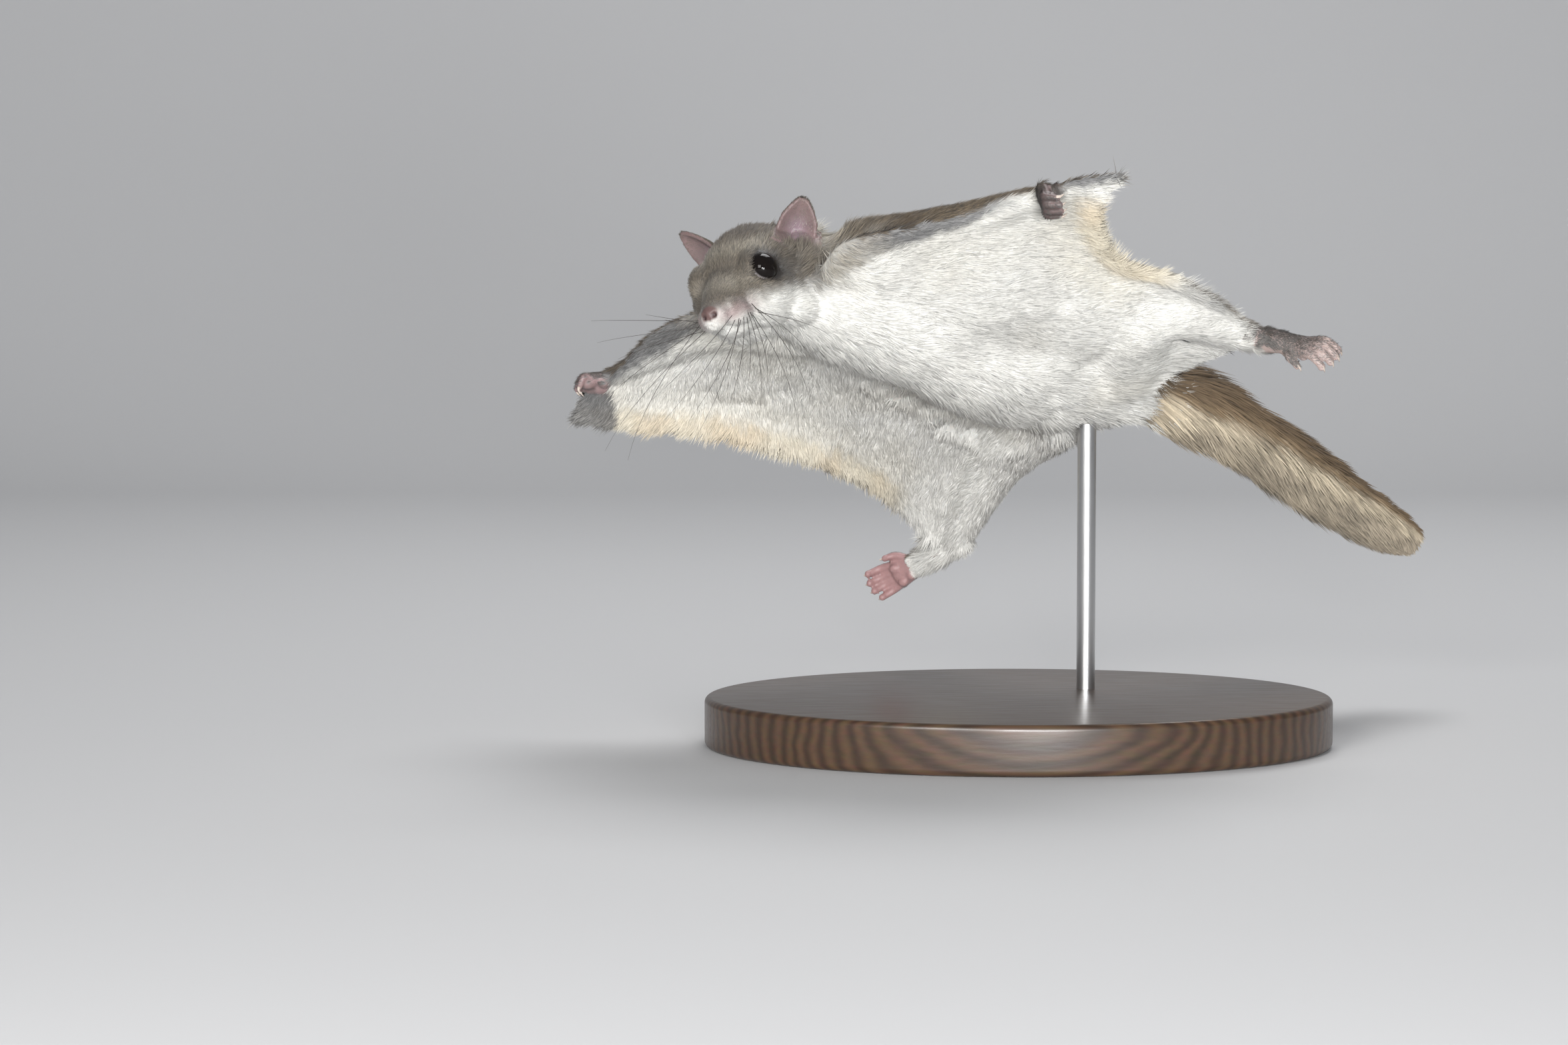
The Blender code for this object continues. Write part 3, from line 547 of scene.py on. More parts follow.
limbLines = {
    "arm_left": ((38, 13, 2), (37, 37, -1), (27, 67, -3.5)),
    "arm_right": ((39, -13, 1), (50, -36, 3), (55, -66, 4)),
    "leg_left": ((-37, 10, 1), (-27, 40, -2), (-54, 42.5, 0.5)),
    "leg_right": ((-37, -10, 0), (-39, -36, -2), (-47, -64, -10)),
}
freeEdges = {
    "left": ((20, 84, -6), (16, 73, -5), (9, 63, -5), (0.5, 57, -5), (-7, 54.5, -5), (-18.5, 57, -5),
             (-35, 53.5, -3.5), (-47, 48, -1.5)),
    "right": ((53, -84.5, 0.5), (46.5, -76, -3), (38, -68, -5), (29.6, -63.5, -5), (9, -59.5, -5),
              (-16, -60.5, -5), (-33.5, -66, -6), (-42, -67, -9)),
}
creamEnd = {"left": 10, "right": 20}
armLines = {  # the edge between the grizzled arm and the white belly, from the wing tip to the chest
    "left": (
        (20, 84), (24.3, 75), (28.7, 66.5), (33, 56.6), (36.8, 43.2), (41.9, 31.2), (48.9, 16.5), (50, 8),
    ),
    "right": ((40, -80), (47, -73), (54.4, -66.9), (54.5, -58.2), (53.8, -42.2), (53.1, -30.8), (49, -12)),
}
wingHearts = {"left": (5, 28, -3), "right": (8, -28, -3)}
mouth = ((21, 0.2, -7.1), (19.7, 1.2, -7.7), (15.2, 3.6, -8.7), (10, 6.2, -8.2))
folds = (  # raised or sunk lines in the skin of the wings: height, half width, spots
    (-1.0, 1.7, ((24.7, -28.4, 1.7), (8, -27, 1.0), (-9.7, -27.7, 1.6), (-20.6, -32.6, 0.6),
                 (-27.3, -30.6, -0.2))),
    (-1.0, 1.6, ((-27.3, -30.6, -0.2), (-30, -21, -5.2), (-27, -9.6, -9.5), (-25.4, 2.6, -11.3))),
    (0.9, 2.0, ((8, -31, 1.2), (-13, -31.7, 1.4), (-21.7, -35.5, 0.4), (-30.8, -32.2, -1.9),
                (-33.4, -20.3, -6.5))),
    (-0.6, 2.0, ((35.9, -54, 0), (29.1, -55.3, -0.7), (22.4, -50.8, 0.4), (20.2, -45.6, 1.5))),
    (-0.6, 1.8, ((53, -66, 1.7), (50.8, -58, 1.3), (43.5, -43.2, 1.2), (40.8, -22.2, -6.3))),
    (-0.5, 2.2, ((30, 60, -4), (12, 40, -5), (2, 22, -9), (-8, 8, -12))),
    (-0.5, 2.0, ((-14, 52, -5), (-22, 36, -6), (-24, 20, -9), (-20, 6, -12))),
)
streaks = (  # grey patches on the pale side: share, half width, spots
    (0.75, 2.6, ((-3.6, -53.4, -1.5), (-13.3, -55.4, -2.8), (-24.5, -59.4, -4.7))),
    (0.55, 3.5, ((-36.7, 51.9, -4), (-30, 54, -3))), (0.45, 3.0, ((-26.1, 56.1, -2.8), (-20, 52, -4))),
    (0.35, 5.0, ((8, 12, -10), (0, 26, -7))), (0.30, 4.0, ((-20, 14, -9), (-30, 30, -6))),
)


def nearLine(spots, line):  # distance to a line of points, and the nearest spot on it
    best, near = np.full(len(spots), 1e9), np.zeros((len(spots), 3))
    for a, b in zip(line, line[1:]):
        a, b = np.array(a, float), np.array(b, float)
        t = np.clip((spots - a) @ (b - a) / ((b - a) @ (b - a)), 0, 1)
        foot = a + t[:, None] * (b - a)
        far = np.linalg.norm(spots - foot, axis=1)
        closer = far < best
        best[closer], near[closer] = far[closer], foot[closer]
    return best, near


def farFrom(spots, line):
    return nearLine(spots, line)[0]


def trunkShare(body):  # 1 along the middle of the trunk, 0 out on the folds
    return np.exp(-((farFrom(body, ((50, 0, 0), (-52, 3, 1))) / 17) ** 4))


def earFrame(side):
    root, tip = np.array(mirrored(ears["root"], sides[side])), np.array(ears["tip"][side])
    along = unit(tip - root)
    across = unit(np.cross(along, np.array(mirrored(ears["faces"], sides[side]))))
    turn = Matrix(np.array([across, along, np.cross(across, along)]).T.tolist()).to_4x4()
    return headFrame @ Matrix.Translation(Vector(root) * mm) @ turn


def regionsOf(points):
    at = {"body": inFrame(points, bodyFrame), "head": inFrame(points, headFrame)}
    x, y, z = at["head"].T
    shoulder = smoothStep(np.abs(y), 15, 20) * (1 - smoothStep(z, 4, 8))
    found = {"at": at}
    close = 1 - smoothStep(np.linalg.norm(at["head"], axis=1), 28, 34)
    found["head"] = smoothStep(x, -13, -5) * close * (1 - shoulder)
    tailLine = [s[0] for s in tail["stations"]]
    found["tail"] = smoothStep(-at["body"][:, 0], 53, 57) * (farFrom(at["body"], tailLine) < 16)
    for name, matrix in limbFrames.items():
        at[name] = inFrame(points, matrix)
        reach, back, long = (4.4, 0.0, 8) if name.startswith("hand") else (7.5, 1.5, 25)
        close = 1 - smoothStep(farFrom(at[name], ((0, 0, 0), (long, 0, 0))), reach - 1, reach)
        found[name] = smoothStep(at[name][:, 0], back - 1.5, back + 2.5) * close * (1 - found["head"])
    for side in sides:
        at["ear_" + side] = inFrame(points, earFrame(side))
        across, along, out = at["ear_" + side].T
        inside = (np.abs(across) < 6) & (np.abs(out) < 5) & (along < 20)
        found["ear_" + side] = smoothStep(along, 0.5, 2.5) * inside
        found["earSkin_" + side] = smoothStep(along, 2.4, 3.8) * inside
    return found


# the unwrap that the coat shares with the skin: each island is seen along one axis of its own frame
islands = {  # frame, the two axes shown, the spot that lies at the corner, scale per millimetre
    "bodyTop": ("body", 0, 1, (-85, -95), (0.01, 0.01), 0.0025),
    "bodyUnder": ("body", 0, 1, (-85, -95), (0.01, 0.51), 0.0025),
    "headLeft": ("head", 0, 2, (-25, -18), (0.40, 0.01), 0.0055),
    "headRight": ("head", 0, 2, (-25, -18), (0.40, 0.30), 0.0055),
    "tailTop": ("body", 0, 1, (-158, -17), (0.40, 0.62), 0.003),
    "tailUnder": ("body", 0, 1, (-158, -17), (0.40, 0.75), 0.003),
}
for number, side in enumerate(sides):
    for face, shift in (("Front", 0.0), ("Back", 0.12)):
        earCorner = (0.72 + shift, 0.01 + 0.19 * number)
        handCorner = (0.40 + 0.3 * number + shift * 1.2, 0.88)
        footCorner = (0.75, 0.40 + 0.24 * number + shift)
        islands[f"ear{face}_{side}"] = ("ear_" + side, 0, 1, (-6, -2), earCorner, 0.0085)
        islands[f"hand{face}_{side}"] = ("hand_" + side, 0, 1, (-5, -8), handCorner, 0.007)
        islands[f"foot{face}_{side}"] = ("foot_" + side, 0, 1, (-8, -9), footCorner, 0.006)
islandNames = list(islands)


def islandsOf(regions, normals):
    ids = np.zeros(len(normals), int)

    def give(where, matrix, axis, first, second):
        shown = facing(normals, axis, matrix) > 0
        ids[where] = np.where(shown, islandNames.index(first), islandNames.index(second))[where]

    give(ids == 0, bodyFrame, (0, 0, 1), "bodyTop", "bodyUnder")
    give(regions["tail"] > 0.5, bodyFrame, (0, 0, 1), "tailTop", "tailUnder")
    give(regions["head"] > 0.5, headFrame, (0, 1, 0), "headLeft", "headRight")
    for side in sides:
        give(regions["ear_" + side] > 0.5, earFrame(side), (0, 0, 1), "earFront_" + side, "earBack_" + side)
        for kind in ("hand", "foot"):
            name, front, back = f"{kind}_{side}", f"{kind}Front_{side}", f"{kind}Back_{side}"
            give(regions[name] > 0.5, limbFrames[name], (0, 0, 1), front, back)
    return ids


def placesIn(at, ids):
    spots = np.zeros((len(ids), 2))
    for number, name in enumerate(islandNames):
        where = ids == number
        if not where.any():
            continue
        key, first, second, corner, place, scale = islands[name]
        shown = at[key][where][:, [first, second]]
        spots[where] = np.array(place) + (shown - np.array(corner)) * scale
    return spots


def unwrapSkin(mesh):
    points, tri = vertsOf(mesh), trianglesOf(mesh)
    ids = np.repeat(islandsOf(regionsOf(points[tri].mean(axis=1)), unit(crossOf(points, tri))), 3)
    corners = points[tri].reshape(-1, 3)
    uvs = placesIn(regionsOf(corners)["at"], ids)
    mesh.uv_layers.new(name="OFBake").data.foreach_set("uv", uvs.astype(np.float32).ravel())


# markings: what colour the coat has at a spot, at the root and the tip of its hair

palette = {
    "backRoot": (0.035, 0.034, 0.036), "backTip": (0.190, 0.145, 0.095),
    "headRoot": (0.038, 0.036, 0.035), "headTip": (0.175, 0.148, 0.115),
    "slateRoot": (0.038, 0.040, 0.047), "slateTip": (0.150, 0.150, 0.155),
    "bellyRoot": (0.600, 0.590, 0.560), "bellyTip": (0.850, 0.835, 0.785),
    "creamRoot": (0.520, 0.450, 0.340), "creamTip": (0.740, 0.685, 0.560),
    "ochre": (0.520, 0.330, 0.150), "fawn": (0.270, 0.232, 0.178), "paleGrey": (0.360, 0.350, 0.330),
    # nostril: painted shade, the dark inside of the nostril openings
    "nostril": (0.030, 0.012, 0.013), "ring": (0.022, 0.019, 0.018),
    "bare": (0.340, 0.190, 0.188), "bareDark": (0.085, 0.058, 0.055),
    "ear": (0.205, 0.142, 0.138), "mauve": (0.250, 0.185, 0.220), "nose": (0.135, 0.082, 0.076),
    "lip": (0.270, 0.185, 0.182), "footTop": (0.075, 0.066, 0.062), "toe": (0.480, 0.370, 0.340),
    "tailTop": (0.105, 0.072, 0.043), "tailTopRoot": (0.050, 0.036, 0.025), "tailSide": (0.185, 0.132, 0.078),
    "tailUnder": (0.290, 0.245, 0.185), "tailPale": (0.500, 0.425, 0.310),
}


def blend(base, name, share):
    return base + (np.array(palette[name]) - base) * np.clip(share, 0, 1)[:, None]


# a map of the skin folds' height, in squares of the body's frame
levelMap = {
    "corner": (-80, -100), "square": 2, "cells": (80, 100),
    "spots": 60000, "seed": 7, "enough": 3, "carried": 8, "unknown": 99.0,
}


def levelCells(body):
    return ((body[:, :2] - levelMap["corner"]) / levelMap["square"]).astype(int)


def sheetLevels():  # height of the folds' middle over each square of the map, in the body's millimetres
    total, seen = np.zeros(levelMap["cells"]), np.zeros(levelMap["cells"])
    for side in sides:
        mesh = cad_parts["patagium_" + side].data
        evenly, rng = np.ones(len(mesh.vertices)), np.random.default_rng(levelMap["seed"])
        spots = inFrame(scatter(mesh, evenly, levelMap["spots"], rng)[0], bodyFrame)
        cells = tuple(levelCells(spots).T)
        np.add.at(total, cells, spots[:, 2])
        np.add.at(seen, cells, 1)
    known = seen > levelMap["enough"]
    height = np.where(known, total / np.maximum(seen, 1), 0.0)
    for _ in range(levelMap["carried"]):  # carried on towards the trunk and the arms
        near = sum(np.roll(height * known, shift, axis) for axis in (0, 1) for shift in (1, -1))
        count = sum(np.roll(known, shift, axis).astype(int) for axis in (0, 1) for shift in (1, -1))
        grown = (count > 0) & ~known
        height[grown] = (near / np.maximum(count, 1))[grown]
        known = known | grown
    return np.where(known, height, levelMap["unknown"])  # elsewhere nothing lies above a fold


levels = sheetLevels()


def edgeShare(body, side):  # the cream lip ends before the leg, and on the left also before the wing's tip
    kept = 1 - smoothStep(-body[:, 0], creamEnd[side], creamEnd[side] + 12)
    return kept * (1 - smoothStep(body[:, 1], 66, 75))


def bellyMarks(root, tip, points, body, fine):  # faint clouds, grey streaks and the shade in the folds
    cloud = smoothStep(patches(points, 14 * mm, 21), 0.55, 0.85)
    root, tip = blend(root, "slateTip", 0.35 * cloud), blend(tip, "paleGrey", 0.22 * cloud)
    buff = smoothStep(patches(points, 20 * mm, 22), 0.5, 0.85)
    tip = blend(tip, "creamTip", 0.3 * buff)
    for share, wide, line in streaks:
        spot = share * bell(farFrom(body, line) + fine * 2.5, wide)
        root, tip = blend(root, "slateRoot", spot * 0.8), blend(tip, "slateTip", spot * 0.8)
    for height, wide, line in folds:
        sunk = 0.8 * np.clip(-height - 0.5, 0, 1)
        shade = sunk * bell(farFrom(body, line), wide * 0.7)
        root, tip = blend(root, "slateRoot", shade), blend(tip, "slateTip", shade)
    return root, tip


def edgeMarks(root, tip, points, body, fine, broad):  # cream and ochre along the folds' free edges
    for side, mirror in sides.items():
        far, kept = farFrom(body, freeEdges[side]), edgeShare(body, side)
        band = kept * (1 - smoothStep(far + fine * 2.5, 4.5, 8.5))
        glow = kept * (1 - smoothStep(far + broad * 8, 8.0, 22.0))
        tip = blend(tip, "creamTip", 0.5 * glow)
        root, tip = blend(root, "creamRoot", 0.9 * band), blend(tip, "creamTip", 0.85 * band)
        warm = smoothStep(patches(points, 11 * mm, 25 + mirror), 0.45, 0.8)
        tip = blend(tip, "ochre", 0.35 * band * warm)
    return root, tip


def armShares(body, fine, broad):  # the grizzled arm, from its front edge to a line on the underside
    arm, brown = np.zeros(len(body)), np.zeros(len(body))
    for side, mirror in sides.items():
        line = np.array(armLines[side][::-1], float)
        out = body[:, 1] * mirror
        edge = np.interp(out, line[:, 1] * mirror, line[:, 0])
        along = smoothStep(out, 4, 12) * (out > 0)
        above = body[:, 0] - edge + fine * 1.4 + broad * 2.5
        arm = np.maximum(arm, smoothStep(above, -1.2, 1.8) * along)
        brown = np.maximum(brown, smoothStep(above + 0.25 * (26 - out), 3, 8) * along)
    return arm, brown


def armMarks(root, tip, points, arm, brown, neck):
    grey = 0.85 * arm * (1 - 0.6 * neck)
    root, tip = blend(root, "slateRoot", grey), blend(tip, "slateTip", grey)
    mottle = smoothStep(patches(points, 3.2 * mm, 31), 0.45, 0.75)
    tip = blend(tip, "backTip", arm * brown * (0.35 + 0.55 * mottle) * (1 - 0.7 * neck))
    fawn = arm * neck * (0.85 - 0.35 * mottle)
    return blend(root, "paleGrey", 0.6 * fawn), blend(tip, "fawn", fawn)


def backShare(normals, body, arm, neck, fine, broad):  # the back, the flanks and the limbs' outer faces
    up, ahead = facing(normals, (0, 0, 1), bodyFrame), facing(normals, (1, 0, 0), bodyFrame)
    rim = np.zeros(len(body))
    for side in sides:
        near = 1 - smoothStep(farFrom(body, freeEdges[side]), 3.0, 6.5)
        rim = np.maximum(rim, near * (0.3 + 0.7 * edgeShare(body, side)))
    level = up + 0.35 * ahead * (body[:, 0] > 20) + fine * 0.35 + broad * 0.25 - 0.25 * rim
    cells = np.clip(levelCells(body), 0, np.array(levelMap["cells"]) - 1)
    aboveFold = smoothStep(body[:, 2] - levels[tuple(cells.T)] + fine, 0.6, 1.8) * (1 - arm)
    aboveFold *= smoothStep(body[:, 0], -36, -28) * (np.abs(body[:, 1]) < 60)
    dorsal = (1 - 0.9 * rim) * np.maximum(smoothStep(level, -0.05, 0.45), aboveFold)
    return dorsal * (1 - 0.75 * arm * neck * (1 - smoothStep(up, 0.0, 0.5)))


def backMarks(root, tip, points, body, dorsal):
    root, tip = blend(root, "backRoot", dorsal), blend(tip, "backTip", dorsal)
    rump = dorsal * smoothStep(-body[:, 0], 30, 46) * (np.abs(body[:, 1]) < 26)
    root, tip = blend(root, "tailTop", rump), blend(tip, "tailSide", rump)
    nape = bell(np.linalg.norm(body - np.array((52, 11, -2)), axis=1), 11)
    root, tip = blend(root, "paleGrey", 0.35 * nape), blend(tip, "creamTip", 0.38 * nape)
    lobe = smoothStep(-body[:, 1], 74, 80)
    root, tip = blend(root, "slateTip", 0.9 * lobe), blend(tip, "paleGrey", 0.7 * lobe)
    rust = smoothStep(patches(points, 16 * mm, 33), 0.4, 0.8)
    return root, blend(tip, "tailTop", 0.3 * dorsal * rust)


faceMarks = {
    "crown": ((-12, -4, 4, 10, 16, 21), (-2.0, -2.4, -2.2, -2.6, -3.8, -4.0)),  # its lower edge: along, up
    # soft spots beside the eye: along, up, half length, half height
    "brow": (7.5, 9.0, 4.5, 1.8), "front": (15.5, 1.8, 2.6, 2.0), "shadow": (3.0, 1.8, 3.5, 2.4),
    "whiskerPad": ((15.2, 6.8, -4.8), (17.2, 5.7, -4.2), (19.8, 4.2, -5.2), (21, 2.4, -5.0)),
}


def faceSpot(name, x, z):
    along, up, long, high = faceMarks[name]
    return np.exp(-(((x - along) / long) ** 2 + ((z - up) / high) ** 2))


def headMarks(face, fine, broad):  # grizzled above a line from the nose to below the ear, pale under it
    x, y, z = face.T
    root, tip = (np.tile(palette[name], (len(face), 1)) for name in ("bellyRoot", "bellyTip"))
    line = np.interp(x, *faceMarks["crown"])
    crown = smoothStep(z - line + fine * 2.0 + broad * 1.5, -2.6, 2.4)
    cheek = 0.8 * smoothStep(z - line, -4.5, 0.5) * smoothStep(-x, -12, 4)
    root, tip = blend(root, "slateTip", 0.8 * cheek), blend(tip, "paleGrey", 0.75 * cheek)
    root, tip = blend(root, "headRoot", crown), blend(tip, "headTip", crown)
    tip = blend(tip, "tailTop", 0.55 * crown * smoothStep(z + fine * 3, 8.5, 13.0))
    for mirror in sides.values():
        beside = (y * mirror > 0)
        far = np.linalg.norm((face - eyePlace(mirror)) * np.array((1.0, 0.6, 1.05)), axis=1)
        ringed = 1 - smoothStep(far + fine * 0.8, 3.7, 4.9)
        brow, front = faceSpot("brow", x, z) * beside, faceSpot("front", x, z) * beside
        tip = blend(tip, "creamTip", 0.34 * brow + 0.30 * front)
        tip = blend(tip, "slateTip", 0.45 * (faceSpot("shadow", x, z) * beside))
        root, tip = blend(root, "ring", 0.95 * ringed), blend(tip, "ring", 0.88 * ringed)
        pad = farFrom(face, [mirrored(spot, mirror) for spot in faceMarks["whiskerPad"]])
        pad = bell(pad, 1.9)
        root, tip = blend(root, "lip", 0.85 * pad), blend(tip, "lip", 0.7 * pad)
        gap = farFrom(face, [mirrored(spot, mirror) for spot in mouth])
        gap = bell(gap, 0.45)
        root, tip = blend(root, "bareDark", 0.8 * gap), blend(tip, "bareDark", 0.6 * gap)
    return root, tip


def markings(points, normals, regions):
    at = regions["at"]
    body, face = at["body"], at["head"]
    fine, broad = patches(points, 1.6 * mm, 11) - 0.5, patches(points, 9 * mm, 12) - 0.5
    root, tip = (np.tile(palette[name], (len(points), 1)) for name in ("bellyRoot", "bellyTip"))
    root, tip = bellyMarks(root, tip, points, body, fine)
    root, tip = edgeMarks(root, tip, points, body, fine, broad)
    arm, brown = armShares(body, fine, broad)
    neck = 1 - smoothStep(np.abs(body[:, 1]), 20, 34)
    root, tip = armMarks(root, tip, points, arm, brown, neck)
    root, tip = backMarks(root, tip, points, body, backShare(normals, body, arm, neck, fine, broad))
    headRoot, headTip = headMarks(face, fine, broad)
    root += (headRoot - root) * regions["head"][:, None]
    tip += (headTip - tip) * regions["head"][:, None]
    x, y, z = face.T
    for mirror in sides.values():  # a pale tuft behind each ear
        behind = np.exp(-(((x + 11) / 5.0) ** 2 + ((y * mirror - 9) / 5.5) ** 2 + ((z - 7) / 6.0) ** 2))
        pale = np.clip((1.3 if mirror > 0 else 0.5) * behind, 0, 1)
        root, tip = blend(root, "creamRoot", pale), blend(tip, "bellyTip", 0.85 * pale)
    for name, matrix in limbFrames.items():
        above = smoothStep(facing(normals, (0, 0, 1), matrix) + fine * 0.5, -0.45, 0.1)
        dark = above * (0.2 if name == "foot_right" else 0.95)
        share = regions[name]
        root, tip = blend(root, "footTop", share * dark), blend(tip, "footTop", share * dark * 0.9)
    pad = 1 - smoothStep(noseDistance(face), 1.5, 2.1)
    return blend(root, "nose", pad), blend(tip, "nose", pad)


# how the coat lies: a direction and a length at each spot

lieLines = [  # from, to, reach
    ((62, -3, -4), (45, 0, 0), 15), ((50, 0, 0), (-55, 3, 1), 17),
    ((20, 18, -3), (-2, 52, -5), 12), ((0, 18, -3), (-25, 54, -5), 12), ((-20, 16, -2), (-40, 46, -3), 10),
    ((36, 38, -4), (10, 62, -5), 10), ((30, 62, -4), (13, 74, -5), 8),
    ((26, -20, 0), (5, -56, -5), 12), ((0, -20, -3), (-20, -58, -5), 12),
    ((-15, -25, -3), (-38, -60, -7), 10),
    ((45, -38, 0), (28, -62, -5), 10), ((52, -62, 2), (42, -74, -2), 8),
    *((a, b, 9) for line in limbLines.values() for a, b in zip(line, line[1:])),
]


def lieOf(points, normals, regions):
    at = regions["at"]
    lie = np.zeros((len(points), 3))
    for start, end, reach in lieLines:
        far = farFrom(at["body"], (start, end))
        weight = bell(far, reach) + 1e-5
        lie += weight[:, None] * turned([unit(np.array(end, float) - np.array(start, float))], bodyFrame)[0]
    for side in sides:  # along the free edges the hair turns outward
        far, near = nearLine(at["body"], freeEdges[side])
        outward = turned(unit(near - np.array(wingHearts[side], float)), bodyFrame)
        lie = unit(lie) + 1.6 * bell(far, 5)[:, None] * outward
    face = at["head"]
    away = turned(unit(face - np.array((25.0, 0, -3.5))) + np.array((-0.55, 0, 0)), headFrame)
    lie = unit(lie) * (1 - regions["head"])[:, None] + unit(away) * regions["head"][:, None]
    for name in limbFrames:
        share = regions[name][:, None]
        lie = lie * (1 - share) + turned([(1, 0, 0)], limbFrames[name])[0] * share
    for side in sides:
        share = regions["ear_" + side][:, None]
        lie = lie * (1 - share) + turned([(0, 1, 0)], earFrame(side))[0] * share
    lie += normals * -np.sum(lie * normals, axis=1, keepdims=True)
    return unit(lie)


def towards(values, goals, share):
    return [value + (goal - value) * share for value, goal in zip(values, goals)]


def coatOf(regions):  # hair length and width in metres, and how steeply it stands in radians
    at = regions["at"]
    trunk, muzzle = trunkShare(at["body"]), smoothStep(at["head"][:, 0], -4, 19)
    hair = 3.0 + 1.7 * trunk, 0.34 + 0.12 * trunk, 11 + 8 * trunk
    hair = towards(hair, (3.1 - 2.2 * muzzle, 0.27 - 0.11 * muzzle, 15), regions["head"])
    for mirror in sides.values():  # longer, steeper hair behind the ears
        far = np.linalg.norm(at["head"] - np.array((-10.5, 8.5 * mirror, 7.5)), axis=1)
        share = bell(far, 4.0)
        hair[0] = hair[0] + (4.5 if mirror > 0 else 2.5) * share
        hair[2] = hair[2] + 24 * share
    for name in limbFrames:
        shank = smoothStep(-at[name][:, 0], -13, -7) * name.startswith("foot")
        fluff = shank * (name == "foot_right")
        goals = 1.0 + 1.2 * shank + 1.3 * fluff, 0.14 + 0.10 * shank + 0.06 * fluff, 12 + 14 * fluff
        hair = towards(hair, goals, regions[name])
    for side in sides:
        hair = towards(hair, (0.8, 0.10, 12), regions["earSkin_" + side])
    long, wide, lift = hair
    return long * mm, wide * mm, np.radians(lift)


paws = {  # colour above and below, where the sole's colour starts, where its hair ends
    "hand_left": ("bareDark", "ear", 0, 0), "hand_right": ("lip", "lip", 0, 0),
    "foot_left": ("toe", "toe", 4, 5), "foot_right": ("toe", "bare", 12, 13),
}
bareTilt = {"hand": 0.1, "foot": -0.2}
bareDigits = {"hand": (3.5, 6), "foot": (15, 24)}


def barePlaces(regions, normals):  # 1 where no hair grows
    at = regions["at"]
    face = at["head"]
    bare = np.zeros(len(normals))
    for side, mirror in sides.items():
        bare = np.maximum(bare, eyeDistance(face, mirror) < eyes["radius"] + 0.75)
        hollow = (regions["earSkin_" + side] > 0.4) & (facing(normals, (0, 0, 1), earFrame(side)) > -0.1)
        bare = np.maximum(bare, 0.93 * hollow)
        nostril = np.array((23.2, 1.25 * mirror, -2.9))
        bare = np.maximum(bare, np.linalg.norm(face - nostril, axis=1) < 1.3)
    for name, matrix in limbFrames.items():
        kind, along, here = name.split("_")[0], at[name][:, 0], regions[name] > 0.35
        under = facing(normals, (0, 0, -1), matrix) > bareTilt[kind]
        bare = np.maximum(bare, here * under * (along > paws[name][3]))
        bare = np.maximum(bare, here * smoothStep(along, *bareDigits[kind]) * 0.85)
    return np.maximum(bare, noseDistance(face) < 2.2)


def coatDepth(regions):  # how far the skin is drawn in, to leave room for the coat
    face = regions["at"]["head"]
    depth = 0.75 + 0.75 * trunkShare(regions["at"]["body"])
    depth += (0.75 - 0.55 * smoothStep(face[:, 0], 2, 20) - depth) * regions["head"]
    for name in limbFrames:
        depth *= 1 - regions[name]
    for side, mirror in sides.items():
        depth *= 1 - regions["ear_" + side]
        depth *= smoothStep(eyeDistance(face, mirror), 4.2, 6.2)
    return depth * (1 - regions["tail"])


def skinMoves(points, normals, regions):  # millimetres that each point of the skin moves
    body, face = regions["at"]["body"], regions["at"]["head"]
    moved = -coatDepth(regions)[:, None] * normals

    # the skin stays behind the eyeballs inside the lids
    for side, mirror in sides.items():
        off = points + moved * mm - outOfFrame([eyePlace(mirror)], headFrame)[0]
        far = np.linalg.norm(off, axis=1) / mm
        inside = smoothStep(facing(unit(off), eyeAxis(mirror), headFrame), *eyes["open"][side])
        inside = inside * (far < eyes["radius"] + 1.2)
        back = np.maximum(far - eyes["radius"] + 0.35 + eyes["sink"][side], 0) * inside
        moved -= unit(off) * back[:, None]

    # soft folds: the thin sheet bends as a whole, so the height counts for less in the distance
    flat = np.array((1, 1, 0.35))
    down = turned([(0, 0, -1)], bodyFrame)[0]
    for height, wide, line in folds:
        far = farFrom(body * flat, np.array(line) * flat)
        moved += (height * bell(far, wide))[:, None] * down

    # mouth line, nostrils and the groove under the nose
    for mirror in sides.values():
        far = farFrom(face, [mirrored(spot, mirror) for spot in mouth])
        moved -= (0.55 * bell(far, 0.5))[:, None] * normals
        off = face - np.array((22.9, 1.35 * mirror, -4.4))
        dip = 1.1 * np.exp(-np.sum((off / np.array((1.3, 0.55, 0.60))) ** 2, axis=1))
        moved -= dip[:, None] * turned([(1, 0, 0)], headFrame)[0]
    far = farFrom(face, ((24, 0, -4.2), (22.5, 0, -6.8)))
    moved -= (0.35 * bell(far, 0.4))[:, None] * normals
    return moved


